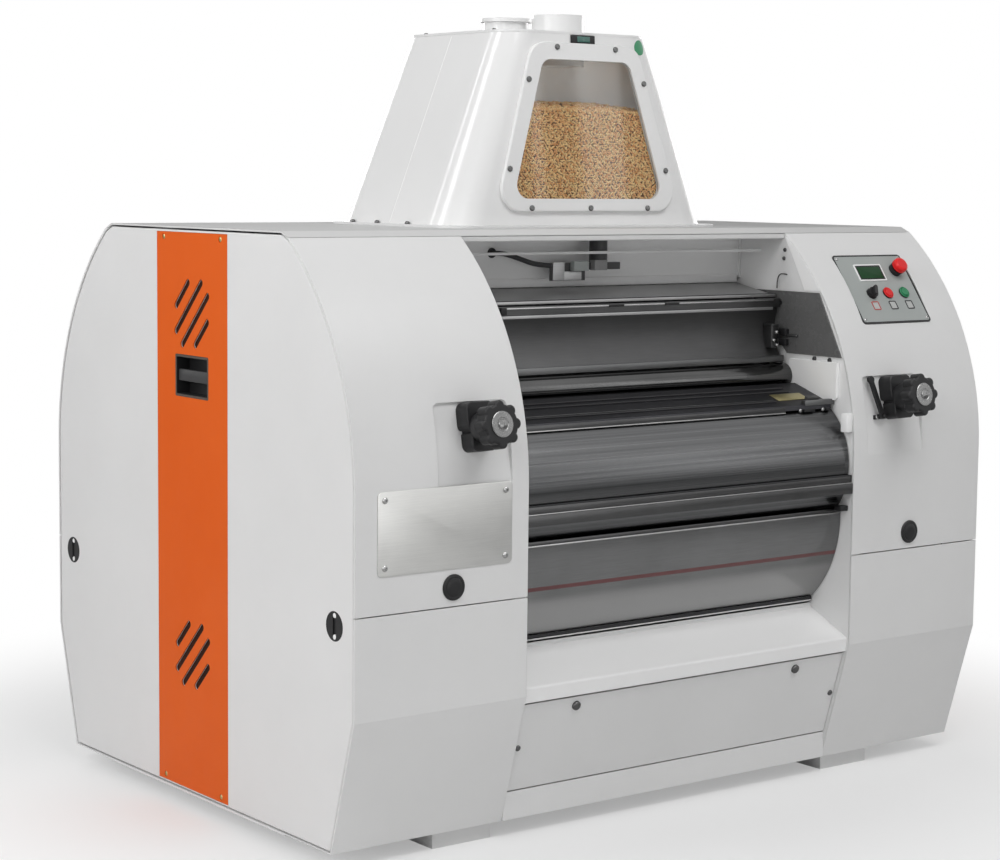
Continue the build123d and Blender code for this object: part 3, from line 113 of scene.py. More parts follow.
# %% Shader helpers
def add_node(tree, kind, settings=None, in_order=(), **inputs):
    """Adds a shader node; an input given as a socket is linked, anything else is set."""
    made = tree.nodes.new("ShaderNode" + kind)
    for key, value in (settings or {}).items():
        setattr(made, key, value)
    given = list(zip(made.inputs, in_order))
    given += [(made.inputs[key.replace("_", " ")], value) for key, value in inputs.items()]
    for socket, value in given:
        if isinstance(value, bpy.types.NodeSocket):
            tree.links.new(value, socket)
        else:
            socket.default_value = value
    return made


def calculate(tree, operation, *values):
    """The result of a Math node on sockets or numbers."""
    return add_node(tree, "Math", {"operation": operation}, values).outputs["Value"]


def new_finish(name, rough, metal=0.0, **sockets):
    """A material whose constants are set on the Principled shader's own sockets."""
    finish = bpy.data.materials.new(name)
    finish.use_nodes = True
    shader = finish.node_tree.nodes["Principled BSDF"]
    for key, value in {"Roughness": rough, "Metallic": metal, **sockets}.items():
        shader.inputs[key.replace("_", " ")].default_value = value
    return finish, finish.node_tree, shader


print("shader helpers ready")

# %% [markdown]
# ## Texture helpers
# No surface is quite even. Noise in the piece's own coordinates, stretched along an axis, gives
# hairlines, clouds and dust. An image could do the same, but noise has no seams and needs no file.

# %% Texture helpers
ROUND = (1, 1, 1)


def stretched_noise(tree, stretch, scale, detail=4.0, rough=0.6):
    """Noise in the object's own coordinates, stretched by a factor along each axis."""
    place = add_node(tree, "TexCoord")
    mapping = add_node(tree, "Mapping", Vector=place.outputs["Object"], Scale=stretch)
    return add_node(tree, "TexNoise", Vector=mapping.outputs["Vector"], Scale=scale,
                    Detail=detail, Roughness=rough).outputs["Fac"]


def between(tree, factor, low, high, start=0.3, stop=0.7):
    """A colour ramp from low to high."""
    ramp = add_node(tree, "ValToRGB", Fac=factor)
    for step, place, tone in zip(ramp.color_ramp.elements, (start, stop), (low, high)):
        step.position = place
        step.color = (*tone, 1)
    return ramp.outputs["Color"]


def value_between(tree, factor, low, high, start=0.3, stop=0.7, curve="LINEAR"):
    """A number that follows a factor from low to high."""
    return add_node(tree, "MapRange", {"interpolation_type": curve}, Value=factor,
                    From_Min=start, From_Max=stop, To_Min=low, To_Max=high).outputs["Result"]


def greyed(tree, factor, tone, grey, blend="MIX"):
    """A tone that turns into an even grey, or is multiplied by it, as a factor grows."""
    return add_node(tree, "MixRGB", {"blend_type": blend}, Fac=factor, Color1=tone,
                    Color2=(grey, grey, grey, 1)).outputs["Color"]


def feed(tree, shader, tone, gloss):
    """Links a tone and a roughness to the shader."""
    tree.links.new(tone, shader.inputs["Base Color"])
    tree.links.new(gloss, shader.inputs["Roughness"])


def bump(tree, shader, height, strength, depth, normal=None):
    """Roughens the surface's normal by a height, over an optional rounded-edge normal."""
    made = add_node(tree, "Bump", Height=height, Strength=strength, Distance=depth * MM)
    if normal:
        tree.links.new(normal, made.inputs["Normal"])
    tree.links.new(made.outputs["Normal"], shader.inputs["Normal"])


print("texture helpers ready")

# %% [markdown]
# ## Paint finishes
# The cabinets are powder coated: a satin film with a very fine orange-peel skin, a tone that drifts
# a little over a big panel, and edges that the film has rounded. A bevel node gives that rounding in
# the shading alone, so the CAD meshes stay as they are.


# %% Paint finishes
def paint(name, low, high, rough_low=0.30, rough_high=0.42, edge=1.6, mirror=0.3, dust_and_shade=None):
    """Satin powder coat with a drifting tone and rounded edges; a grey multiplied into what faces up paints
    shade there.
    """
    finish, tree, shader = new_finish(name, 0.36, IOR=1.5, Specular_IOR_Level=mirror)
    tone = between(tree, stretched_noise(tree, ROUND, 2.2, 5.0), low, high)
    # Painted shade: faces that turn up are multiplied by a grey, which darkens them.
    if dust_and_shade:
        facing = add_node(tree, "NewGeometry").outputs["Normal"]
        rise = add_node(tree, "SeparateXYZ", Vector=facing).outputs["Z"]
        tone = greyed(tree, value_between(tree, rise, 0.0, 1.0, 0.90, 0.98), tone, dust_and_shade, "MULTIPLY")
    smudge = stretched_noise(tree, (1, 1, 0.6), 9.0, 6.0, 0.7)
    feed(tree, shader, tone, value_between(tree, smudge, rough_low, rough_high))
    peel = stretched_noise(tree, ROUND, 420.0, 2.0, 0.5)
    rounded = add_node(tree, "Bevel", {"samples": 4}, Radius=edge * MM).outputs["Normal"]
    bump(tree, shader, peel, 0.05, 0.4, rounded)
    return finish


white_coat = paint("white_coat", (0.78, 0.78, 0.778), (0.82, 0.82, 0.818))
gloss_coat = paint("gloss_coat", (0.79, 0.79, 0.788), (0.82, 0.82, 0.818), 0.12, 0.2, 1.0, 0.5)
# bright_coat and seam_coat are lighter copies of the white paint; where they stand on white-painted parts other
# than the display bezel, the extra lightness is painted light.
bright_coat = paint("bright_coat", (0.93, 0.93, 0.928), (0.965, 0.965, 0.963))
seam_coat = paint("seam_coat", (0.93, 0.93, 0.928), (0.96, 0.96, 0.958), 0.3, 0.4, 0.4)
inner_coat = paint("inner_coat", (0.80, 0.80, 0.798), (0.85, 0.85, 0.848), 0.36, 0.5)
# The deck has the same white paint as the covers; its darker tone and the grey on its upward faces are painted
# shade.
deck_coat = paint("deck_coat", (0.70, 0.70, 0.698), (0.74, 0.74, 0.738), 0.5, 0.6, 1.6, 0.0, 0.84)
orange_coat = paint("orange_coat", (0.76, 0.118, 0.012), (0.80, 0.132, 0.016), 0.42, 0.54, 1.6, 0.12)
panel_coat = paint("panel_coat", (0.37, 0.395, 0.385), (0.42, 0.445, 0.435), 0.4, 0.5, 0.6)
print("paints made")

# %% [markdown]
# ## Metal finishes
# Sheet steel is brushed along its length, so its noise is stretched along X until it turns into long
# hairlines. The same recipe with other numbers gives the ground rolls, the bright screws and the
# dark cast pieces. The lower guard is paler below a line, so its tone also follows its height.


# %% Metal finishes
def metal(name, low, high, rough_low, rough_high, stretch, scale, grain=0.12, bands=ROUND, pale_foot=None):
    """Bare metal that follows one stretched noise; it may have bands or a paler foot."""
    finish, tree, shader = new_finish(name, rough_low, 1.0)
    hairline = stretched_noise(tree, stretch, scale, 6.0, 0.7)
    cloud = stretched_noise(tree, bands, 5.0, 3.0)
    mixed = calculate(tree, "MULTIPLY_ADD", cloud, 0.4, calculate(tree, "MULTIPLY", hairline, 0.6))
    tone = between(tree, mixed, low, high)
    if pale_foot:
        start, full, grey = pale_foot
        place = add_node(tree, "TexCoord").outputs["Object"]
        height = add_node(tree, "SeparateXYZ", Vector=place).outputs["Z"]
        tone = greyed(tree, value_between(tree, height, 0.0, 1.0, start, full, "SMOOTHSTEP"), tone, grey)
    feed(tree, shader, tone, value_between(tree, hairline, rough_low, rough_high))
    bump(tree, shader, hairline, grain, 0.3)
    return finish


BRUSHED, GROUND, POLISHED = (1.2, 60, 60), (0.05, 26, 26), (0.3, 90, 90)
PALE_LINE, PALE_BLEND = Vector((0, -0.6, 0.530)), 0.012
guard_steel = metal("guard_steel", (0.115, 0.117, 0.118), (0.185, 0.187, 0.188), 0.34, 0.46, BRUSHED, 12.0)
pale_z = (nodes["front_lower_guard"].matrix_world.inverted() @ PALE_LINE).z
guard_sheet = metal("guard_sheet", (0.165, 0.167, 0.168), (0.255, 0.257, 0.258), 0.18, 0.27, BRUSHED, 12.0,
                    pale_foot=(pale_z + PALE_BLEND, pale_z - PALE_BLEND, 0.32))
roll_iron = metal("roll_iron", (0.055, 0.056, 0.058), (0.20, 0.202, 0.205), 0.2, 0.3, GROUND, 9.0, 0.05,
                  (0.02, 2.4, 2.4))
apron_steel = metal("apron_steel", (0.064, 0.064, 0.065), (0.100, 0.100, 0.101), 0.42, 0.54, BRUSHED, 14.0)
hood_steel = metal("hood_steel", (0.036, 0.036, 0.040), (0.062, 0.062, 0.068), 0.36, 0.50, BRUSHED, 14.0)
tray_steel = metal("tray_steel", (0.30, 0.30, 0.301), (0.44, 0.44, 0.441), 0.44, 0.56, BRUSHED, 9.0)
gate_steel = metal("gate_steel", (0.07, 0.07, 0.071), (0.12, 0.12, 0.121), 0.30, 0.40, BRUSHED, 16.0)
feed_steel = metal("feed_steel", (0.06, 0.06, 0.06), (0.14, 0.14, 0.14), 0.12, 0.2, POLISHED, 9.0, 0.06)
# Its strips are far paler than the sheets whose edges they line: painted highlights along those edges.
edge_highlight_steel = metal("edge_highlight_steel", (0.42, 0.42, 0.42), (0.56, 0.56, 0.555), 0.24, 0.36, BRUSHED, 16.0)
bright_steel = metal("bright_steel", (0.36, 0.36, 0.36), (0.44, 0.44, 0.435), 0.2, 0.3, ROUND, 300.0, 0.01)
screw_steel = metal("screw_steel", (0.09, 0.09, 0.09), (0.14, 0.14, 0.14), 0.16, 0.26, ROUND, 300.0, 0.01)
cap_steel = metal("cap_steel", (0.20, 0.20, 0.20), (0.27, 0.27, 0.268), 0.2, 0.3, ROUND, 300.0, 0.01)
machine_iron = metal("machine_iron", (0.12, 0.125, 0.13), (0.20, 0.205, 0.21), 0.42, 0.6, ROUND, 60.0, 0.3)
plate_steel = metal("plate_steel", (0.56, 0.56, 0.55), (0.72, 0.72, 0.70), 0.28, 0.4, (1, 1, 90), 14.0)
brass = metal("brass", (0.50, 0.43, 0.20), (0.62, 0.55, 0.30), 0.3, 0.45, BRUSHED, 20.0)
print("metals made")

# %% [markdown]
# ## Plastics
# Moulded plastic has a fine spark-eroded grain, and handling wears its gloss in patches. The films on
# the panel and the hopper are the same recipe with a finer skin.


# %% Plastics
def plastic(name, low, high, rough, mirror=0.5, grain=0.25, scale=900.0, **sockets):
    """Moulded plastic with a spark-eroded skin."""
    finish, tree, shader = new_finish(name, rough, Specular_IOR_Level=mirror, **sockets)
    skin = stretched_noise(tree, ROUND, scale, 3.0, 0.6)
    wear = stretched_noise(tree, ROUND, 14.0, 5.0, 0.7)
    feed(tree, shader, between(tree, wear, low, high), value_between(tree, wear, rough - 0.06, rough + 0.08))
    bump(tree, shader, skin, grain, 0.25)
    return finish


def film(name, low, high, rough=0.4, mirror=0.5, grain=0.03, **sockets):
    """A printed or lacquered film."""
    return plastic(name, low, high, rough, mirror, grain, 300.0, **sockets)


black_plastic = plastic("black_plastic", (0.013, 0.013, 0.014), (0.020, 0.020, 0.021), 0.40, 0.28)
dark_plastic = plastic("dark_plastic", (0.045, 0.045, 0.046), (0.065, 0.065, 0.066), 0.42, 0.3)
# vent_shade is a dark brown that stands for the shade inside the end-cover vents: painted shade.
vent_shade = plastic("vent_shade", (0.020, 0.007, 0.004), (0.040, 0.015, 0.009), 0.7, 0.12)
pull_plastic = plastic("pull_plastic", (0.085, 0.068, 0.056), (0.115, 0.092, 0.075), 0.5, 0.2)
grey_plastic = plastic("grey_plastic", (0.20, 0.20, 0.20), (0.27, 0.27, 0.27), 0.45)
lead_rubber = film("lead_rubber", (0.022, 0.022, 0.024), (0.036, 0.036, 0.038), 0.55, 0.3, 0.15)
red_plastic = plastic("red_plastic", (0.70, 0.010, 0.012), (0.80, 0.016, 0.017), 0.30, 0.3, 0.03, 500.0)
green_plastic = plastic("green_plastic", (0.015, 0.20, 0.08), (0.025, 0.26, 0.11), 0.30, 0.3, 0.03, 500.0)
dot_film = film("dot_film", (0.035, 0.24, 0.11), (0.045, 0.28, 0.13))
teal_film = film("teal_film", (0.03, 0.11, 0.09), (0.05, 0.15, 0.12), 0.25, 0.5, 0.02, Coat_Weight=0.4)
screen_film = film("screen_film", (0.014, 0.052, 0.020), (0.020, 0.068, 0.028), 0.4, 0.08, 0.02)
tile_film = film("tile_film", (0.46, 0.47, 0.46), (0.54, 0.55, 0.54))
red_film = film("red_film", (0.42, 0.05, 0.045), (0.50, 0.07, 0.06))
line_film = film("line_film", (0.12, 0.040, 0.042), (0.155, 0.05, 0.052))
print("plastics made")

# %% [markdown]
# ## Panes and grain
# The hopper's window is clear and the drive guards are smoked. A glass shader would bend the light at
# both faces of so thin a sheet for no gain, so each pane is a transparent shader mixed with a little
# mirror or body colour. Wheat takes its colour per kernel from a random value of each mesh island.

# %% Panes and grain
SILVER, PANE_EDGE, SMOKE_SHARE = (0.5, 0.5, 0.5), 0.07, 0.8


def pane(name, clear, dust_and_shade, rough, body=None):
    """A sheet that light passes straight through; a body colour makes it a tint that hides more."""
    finish, tree, shader = new_finish(name, rough, 0.0 if body else 1.0, Base_Color=(*(body or SILVER), 1))
    dust = stretched_noise(tree, ROUND, 30.0, 6.0, 0.7)
    tree.links.new(value_between(tree, dust, rough, rough + 0.04), shader.inputs["Roughness"])
    through = add_node(tree, "BsdfTransparent", Color=between(tree, dust, dust_and_shade, clear))
    share = SMOKE_SHARE if body else add_node(tree, "LayerWeight", Blend=PANE_EDGE).outputs["Facing"]
    sheet = add_node(tree, "MixShader", None,
                     (share, through.outputs["BSDF"], shader.outputs["BSDF"]))
    tree.links.new(sheet.outputs["Shader"], tree.nodes["Material Output"].inputs["Surface"])
    return finish


clear_pane = pane("clear_pane", (0.985, 0.99, 0.985), (0.955, 0.96, 0.955), 0.02)
smoked_pane = pane("smoked_pane", (0.5, 0.5, 0.5), (0.42, 0.42, 0.42), 0.25, (0.165, 0.165, 0.165))
heap_shade = plastic("heap_shade", (0.12, 0.052, 0.014), (0.19, 0.09, 0.03), 0.8, 0.1, 0.5, 260.0)
wheat_finish, wheat_tree, wheat_shader = new_finish("wheat", 0.45)
kernel_seed = add_node(wheat_tree, "NewGeometry").outputs["Random Per Island"]
kernel_tone = between(wheat_tree, kernel_seed, (0.74, 0.32, 0.085), (0.94, 0.68, 0.30), 0.0, 1.0)
wheat_tree.links.new(kernel_tone, wheat_shader.inputs["Base Color"])
bump(wheat_tree, wheat_shader, stretched_noise(wheat_tree, ROUND, 700.0), 0.3, 0.3)
print("panes and grain made")

# %% [markdown]
# ## Dress the CAD nodes
# Each CAD node keeps its mesh and gets one of the finishes, apart from the sensor's lead, which a
# curve replaces below. Smooth shading with a sharp-edge limit lets the curved covers and rolls shade
# as curves without a finer mesh.

# %% Dress the CAD nodes
ENDS, SIDES = ("front", "rear"), (("left", -1), ("right", 1))


def front_and_rear(*names):
    """The names of nodes that come as a front and a rear one."""
    return [f"{end}_{name}" for name in names for end in ENDS]


DRESS = {
    gloss_coat: ["hopper_shell", "hopper_lid", "window_frame"],
    white_coat: ["front_upper_covers", "front_lower_covers", "rear_covers", "lower_panels",
                 "left_end_cover", "right_end_cover", "base_frame"],
    # Painted light: the aprons wear the lighter copy of the white paint.
    bright_coat: ["aprons"],
    deck_coat: ["deck"],
    inner_coat: ["left_side_frame", "right_side_frame", "flow_sheets"],
    orange_coat: ["left_stripe", "right_stripe"],
    panel_coat: ["control_panel"],
    roll_iron: front_and_rear("outer_roll", "inner_roll"),
    guard_sheet: front_and_rear("lower_guard"),
    apron_steel: ["feed_plates"],
    hood_steel: ["roll_guards"],
    gate_steel: front_and_rear("feed_gate"),
    feed_steel: front_and_rear("feed_roll"),
    screw_steel: ["screws"],
    machine_iron: front_and_rear("outer_gear", "inner_drive", "carriage") + ["outer_bearings", "feed_motors"],
    black_plastic: front_and_rear("left_wheel", "right_wheel") + [
        "wheel_brackets", "panel_gasket", "button_bezels", "selector_knob", "lock_lever", "left_front_latch",
        "left_rear_latch", "right_front_latch", "right_rear_latch"],
    dark_plastic: ["level_sensor"],
    red_plastic: ["estop_button", "red_button"],
    green_plastic: ["green_button"],
    clear_pane: ["window_pane"],
    smoked_pane: ["drive_guards"],
    heap_shade: ["grain"],
}
SHARP = radians(28)


def shade(piece):
    """Smooth shading, but sharp across edges that turn by more than the limit."""
    piece.data.shade_smooth()
    piece.data.set_sharp_from_angle(angle=SHARP)


for finish, names in DRESS.items():
    for name in names:
        nodes[name].data.materials.clear()
        nodes[name].data.materials.append(finish)
        shade(nodes[name])
print("dressed", sum(len(names) for names in DRESS.values()), "of", len(nodes))

# %% [markdown]
# ## From a drawing to a piece
# Every small piece is drawn flat in millimetres, set in its place by a matrix, and rides on the body
# that carries it. A piece is a list of strokes: a drawing helper and its values. Modelling each by
# hand would give the same mesh, but a list can be read and changed like a parts list.


# %% From a drawing to a piece
def stand_on(origin, normal, x_dir=(1, 0, 0)):
    """A matrix whose X and Z lie along x_dir and normal, for pieces drawn flat in millimetres."""
    z = Vector(normal).normalized()
    x = Vector(x_dir).normalized()
    place = Matrix((x * MM, z.cross(x) * MM, z * MM)).transposed().to_4x4()
    place.translation = origin
    return place


SLOTS = {"white_paint": (white_coat, bright_coat, seam_coat, inner_coat),
         "sheet_steel": (plate_steel, tray_steel, guard_steel, gate_steel),
         "bright_steel": (edge_highlight_steel, bright_steel, screw_steel, cap_steel),
         "black_plastic": (black_plastic, dark_plastic), "lead_rubber": (lead_rubber,),
         "red_plastic": (red_plastic,), "green_plastic": (green_plastic,)}
SLOT_OF = {finish: slot for slot, finishes in SLOTS.items() for finish in finishes}


def make_piece(name, place, finish, *strokes, body="mill_frame"):
    """Draws the strokes, sets the drawing in its place and lets the piece ride on a body."""
    drawing = bmesh.new()
    for helper, *values in strokes:
        helper(drawing, *values)
    bmesh.ops.transform(drawing, matrix=place, verts=drawing.verts)
    bmesh.ops.recalc_face_normals(drawing, faces=drawing.faces)
    mesh = bpy.data.meshes.new(name)
    drawing.to_mesh(mesh)
    drawing.free()
    piece = add_object(name, mesh)
    mesh.materials.append(finish)
    shade(piece)
    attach(piece, body)


print("finishes with a slot", len(SLOT_OF))

# %% [markdown]
# ## Turned and skinned shapes
# Caps, plugs and screws come off a lathe, and plates and frames are cut from sheet. Both are stacks
# of loops joined by faces. Writing the loops down, instead of bevelling a cylinder or a cube, gives
# just the edges that the real piece has.


# %% Turned and skinned shapes
def loop_faces(rows):
    """The corners of each face between neighbouring loops; a loop of one point makes a fan."""
    for low, high in zip(rows, rows[1:]):
        for i in range(max(len(low), len(high))):
            j = i + 1
            corners = [low[i % len(low)], low[j % len(low)], high[j % len(high)], high[i % len(high)]]
            yield list(dict.fromkeys(corners))


def join_loops(bm, rows):
    """Skins a row of loops."""
    for corners in loop_faces(rows):
        bm.faces.new(corners)


def add_turned(bm, profile, steps=40, at=(0, 0), height=0.0):
    """Spins a profile of (radius, height) points about the local Z axis."""
    rings = []
    for radius, z in profile:
        turns = [2 * pi * i / steps for i in range(steps if radius else 1)]
        rings.append([bm.verts.new((at[0] + radius * cos(turn), at[1] + radius * sin(turn),
                                    z + height)) for turn in turns])
    join_loops(bm, rings)
    if profile[0] == profile[-1]:
        return
    if len(rings[0]) > 1:
        bm.faces.new(list(reversed(rings[0])))
    if len(rings[-1]) > 1:
        bm.faces.new(rings[-1])


def outline_points(width, height, corner, at=(0, 0), turns=6):
    """Points round a rectangle with rounded corners."""
    points = []
    for cx, cy, start in ((1, 1, 0), (-1, 1, 90), (-1, -1, 180), (1, -1, 270)):
        for step in range(turns + 1):
            angle = radians(start + 90 * step / turns)
            points.append((at[0] + cx * (width / 2 - corner) + corner * cos(angle),
                           at[1] + cy * (height / 2 - corner) + corner * sin(angle)))
    return points


def add_loops(bm, loops, floor=True):
    """Skins a stack of (points, height) loops and closes its last one; the first may stay open."""
    rows = [[bm.verts.new((x, y, z)) for x, y in points] for points, z in loops]
    join_loops(bm, rows)
    bm.faces.new(rows[-1])
    if floor:
        bm.faces.new(list(reversed(rows[0])))


def add_plate(bm, width, height, corner, low, high, at=(0, 0), edge=0.6):
    """A rounded plate between two heights with its upper edge eased."""
    loops = [(outline_points(width, height, corner, at), low)]
    for angle in (0, 30, 60, 90):
        inward = edge * (1 - cos(radians(angle)))
        points = outline_points(width - 2 * inward, height - 2 * inward, max(corner - inward, 0.2), at)
        loops.append((points, high - edge * (1 - sin(radians(angle)))))
    add_loops(bm, loops)


def add_frame(bm, width, height, corner, bar, low, high, at=(0, 0)):
    """A flat rectangular ring with a bar of a given width."""
    outer = outline_points(width, height, corner, at)
    inner = outline_points(width - 2 * bar, height - 2 * bar, max(corner - bar, 0.3), at)
    rows = [[bm.verts.new((x, y, z)) for x, y in points]
            for points, z in ((outer, low), (outer, high), (inner, high), (inner, low))]
    join_loops(bm, rows + rows[:1])


def add_screw(bm, at, radius, height, base=0.0):
    """A domed screw head with a socket sunk into its crown."""
    shares = [(1, 0), (1, 0.25), (0.92, 0.55), (0.75, 0.85), (0.5, 1), (0.42, 1), (0.38, 0.45), (0, 0.42)]
    add_turned(bm, [(radius * out, height * up) for out, up in shares], 24, at, base)


print("lathe and sheet helpers ready")

# %% [markdown]
# ## Bars and mirrored pairs
# Strips, lips and blocks are milled bars with softened edges. The rear of the mill mirrors the front,
# so one list of bars makes both: a mirror matrix costs less than a second list or a modifier.


# %% Bars and mirrored pairs
def add_bar(bm, low, high, edge=0.8, place=None):
    """A milled bar between two corners with softened edges, optionally set in another frame."""
    bar = bmesh.new()
    for vert in bmesh.ops.create_cube(bar, size=1.0)["verts"]:
        for axis in range(3):
            vert.co[axis] = low[axis] if vert.co[axis] < 0 else high[axis]
    bmesh.ops.bevel(bar, geom=bar.edges[:], offset=edge, segments=2, profile=0.5, affect="EDGES")
    if place:
        bmesh.ops.transform(bar, matrix=place, verts=bar.verts)
    carried = bpy.data.meshes.new("bar")
    bar.to_mesh(carried)
    bar.free()
    bm.from_mesh(carried)
    bpy.data.meshes.remove(carried)


def surface_at(node, start, direction):
    """Where a straight line from a point first meets a CAD node, and the surface's normal there."""
    hit, spot, normal, _ = nodes[node].ray_cast(Vector(start), Vector(direction))
    assert hit, node
    return spot, normal


IN_PLACE = Matrix.Diagonal((MM, MM, MM, 1))
TO_MM = Matrix.Diagonal((1 / MM, 1 / MM, 1 / MM, 1))
BOTH_ENDS = (("front", IN_PLACE), ("rear", Matrix.Diagonal((MM, -MM, MM, 1))))
TO_FRONT, TO_REAR, TO_TOP, TO_FLOOR = (0, -1, 0), (0, 1, 0), (0, 0, 1), (0, 0, -1)


def twin_bars(label, finish, *bars, edge=0.6, body="mill_frame", place=None):
    """Bars drawn for the front of the mill in place, and mirrored for the rear."""
    strokes = [(add_bar, low, high, edge, place) for low, high in bars]
    for end, mirror in BOTH_ENDS:
        make_piece(f"{end}_{label}", mirror, finish, *strokes, body=body.format(end=end))


print("bar helpers ready")

# %% [markdown]
# ## Sensor lead
# The level sensor's lead is held at both ends by the mill: it leaves the sensor bracket and turns back
# into the baffle behind, through a rubber grommet. A chain of cylinders would show its joints, so it
# is one smooth NURBS curve on the route's own points.

# %% Sensor lead
LEAD_ROUTE = [(-0.156, -0.300, 1.258), (-0.200, -0.300, 1.2612), (-0.240, -0.300, 1.2735),
              (-0.268, -0.300, 1.2815), (-0.286, -0.2955, 1.2868), (-0.292, -0.276, 1.288),
              (-0.292, -0.252, 1.288)]
LEAD_LENGTH, LEAD_WIDTH = 0.1765, 0.012
GROMMET_AT = (-0.292, -0.2516, 1.288)
GROMMET = [(6.4, 0), (12, 0), (12, 2), (11, 4), (8, 5), (6.4, 4.4), (6.4, 0)]
lead_curve = bpy.data.curves.new("sensor_lead_cable", "CURVE")
lead_curve.dimensions = "3D"
lead_line = lead_curve.splines.new("NURBS")
lead_line.points.add(len(LEAD_ROUTE) - 1)
for knot, spot in zip(lead_line.points, LEAD_ROUTE):
    knot.co = (*spot, 1)
lead_line.order_u = 3
lead_line.use_endpoint_u = True
lead_curve.bevel_depth = LEAD_WIDTH / 2
lead_curve.bevel_resolution = 6
lead_curve.use_fill_caps = True
lead = add_object("sensor_lead_cable", lead_curve)
lead_curve.materials.append(lead_rubber)
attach(lead, "mill_frame")
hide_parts("sensor_lead")
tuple(LEAD_ROUTE[0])
make_piece("lead_grommet", stand_on(GROMMET_AT, TO_FRONT), lead_rubber, (add_turned, GROMMET, 32))
print("lead", LEAD_LENGTH, "m")

# %% [markdown]
# ## Name plate and plugs
# The plate on the left cover is plain brushed steel held by four screws, and it stays bare. Below it,
# and on the other covers, a round rubber plug closes a service hole. Both stand a hair off the cover,
# because two faces in one plane would flicker.

# %% Name plate and plugs
FACE, HAIR = 0.670, 0.0003
PLATE_THICK = 1.6
CORNERS = ((-1, -1), (-1, 1), (1, -1), (1, 1))
PLUG_X, PLUG_Z = 0.7, 0.599
PLUG_PROFILE = [(28.5, 0), (28.5, 2.2), (27, 4), (23, 5), (21.5, 4.2), (20.5, 4.2), (19, 5.2), (10, 6.2),
                (0, 6.6)]
plate_place = stand_on((-0.721, -FACE - HAIR, 0.727), TO_FRONT)
make_piece("name_plate", plate_place, plate_steel, (add_plate, 350, 178, 10, 0, PLATE_THICK))
make_piece("name_plate_screws", plate_place, bright_steel,
           *[(add_screw, (157 * sx, 71 * sz), 7, 4, PLATE_THICK) for sx, sz in CORNERS])
for label, sx, face in (("left", -1, -1), ("right", 1, -1), ("rear_left", -1, 1), ("rear_right", 1, 1)):
    plug_place = stand_on((sx * PLUG_X, face * (FACE + HAIR), PLUG_Z), (0, face, 0), (-face, 0, 0))
    make_piece(f"{label}_plug", plug_place, black_plastic, (add_turned, PLUG_PROFILE))
print("plate and plugs made")

# %% [markdown]
# ## Wheel caps and lever clevis
# Each adjusting wheel ends in a bright disc that a domed nut holds. The pocket floor leans back, so
# the disc takes the spindle's direction from the joint that turns the wheel, and turns with it. The
# lock lever stands on a black clevis with two bright pins.

# %% Wheel caps and lever clevis
joints = {joint["name"]: joint for joint in frame["joints"]}
KNOB_TOP = 114.0
CAP_PROFILE = [(28, 0), (28, 2.0), (26.6, 3.0), (15, 3.2), (14, 2.4), (11.5, 2.4), (11.5, 3.6), (10, 5.6),
               (6, 6.7), (3, 7.0), (2.2, 5.8), (0, 5.8)]
PINS = ((-60, -44), (-34, -41))


def joint_line(name):
    """A point on a joint's axis, and the axis."""
    return Vector(joints[name]["pos_m"]), Vector(joints[name]["axis"]).normalized()


for end in ENDS:
    for side, _ in SIDES:
        spindle_foot, spindle = joint_line(f"{end}_{side}_adjust")
        make_piece(f"{end}_{side}_wheel_cap", stand_on(spindle_foot + spindle * (KNOB_TOP * MM), spindle),
                   cap_steel, (add_turned, CAP_PROFILE, 48), body=f"{end}_{side}_wheel")
pad_place = stand_on(*joint_line("front_right_adjust"))
make_piece("lever_clevis", pad_place, black_plastic, (add_bar, (-65, -49, 0.3), (-28, -38, 9.8), 1.5))
make_piece("lever_pin", pad_place, bright_steel, *[(add_screw, pin, 4.8, 1.2, 9.7) for pin in PINS])
print("wheel caps made")

# %% [markdown]
# ## Control panel face
# The panel's plane touches the curved cover, so its normal comes from the selector's joint. The display
# is a dark green window in a pale frame. The push buttons get bezels of their own colour, and three
# outlined squares stand where the panel has its icons. All are thin real pieces, so that their edges
# catch the light as the printed and moulded ones do.

# %% Control panel face
PANEL_AT = Vector((0.721, -0.5407, 1.199))
DISPLAY_AT = (-15.6, 47.3)
BEZEL = [(11.8, 4.0), (15.4, 4.0), (15.4, 4.6), (14.6, 5.4), (12.6, 5.4), (11.8, 4.6), (11.8, 4.0)]
BEZEL_V, TILE_V, SCREW_U, SCREW_V = -15, -50, 110, 89.5
_, panel_normal = joint_line("selector_turn")
panel_spot, _ = surface_at("control_panel", (0.721, -0.8, 1.199), TO_REAR)
panel_place = stand_on(PANEL_AT + panel_normal * (panel_spot - PANEL_AT).dot(panel_normal), panel_normal)
make_piece("display_surround", panel_place, black_plastic, (add_plate, 92, 45, 2, 0.1, 1.2, DISPLAY_AT, 0.3))
make_piece("display_bezel", panel_place, seam_coat, (add_frame, 96, 49, 2.5, 3.4, 0.1, 2.4, DISPLAY_AT))
make_piece("display_screen", panel_place, screen_film, (add_plate, 79, 34, 1, 1.1, 1.7, DISPLAY_AT, 0.2))
for label, u, finish in (("red", 11.5, red_plastic), ("green", 69.5, green_plastic)):
    make_piece(f"{label}_bezel", panel_place, finish, (add_turned, BEZEL, 48, (u, BEZEL_V), 0.05))
for label, u, finish in (("first", -49, red_film), ("second", 12.8, black_plastic),
                         ("third", 71.7, black_plastic)):
    tile_at = (u, TILE_V)
    make_piece(f"{label}_tile", panel_place, finish, (add_frame, 25, 25, 3.5, 2.6, 0.1, 0.9, tile_at))
    make_piece(f"{label}_tile_face", panel_place, tile_film,
               (add_plate, 19.6, 19.6, 1.4, 0.1, 0.5, tile_at, 0.2))
make_piece("panel_caps", panel_place, bright_steel,
           *[(add_screw, (su * SCREW_U, sv * SCREW_V), 4.4, 2.4, 0.1) for su, sv in CORNERS])
print("panel face made, normal", [round(c, 3) for c in panel_normal])
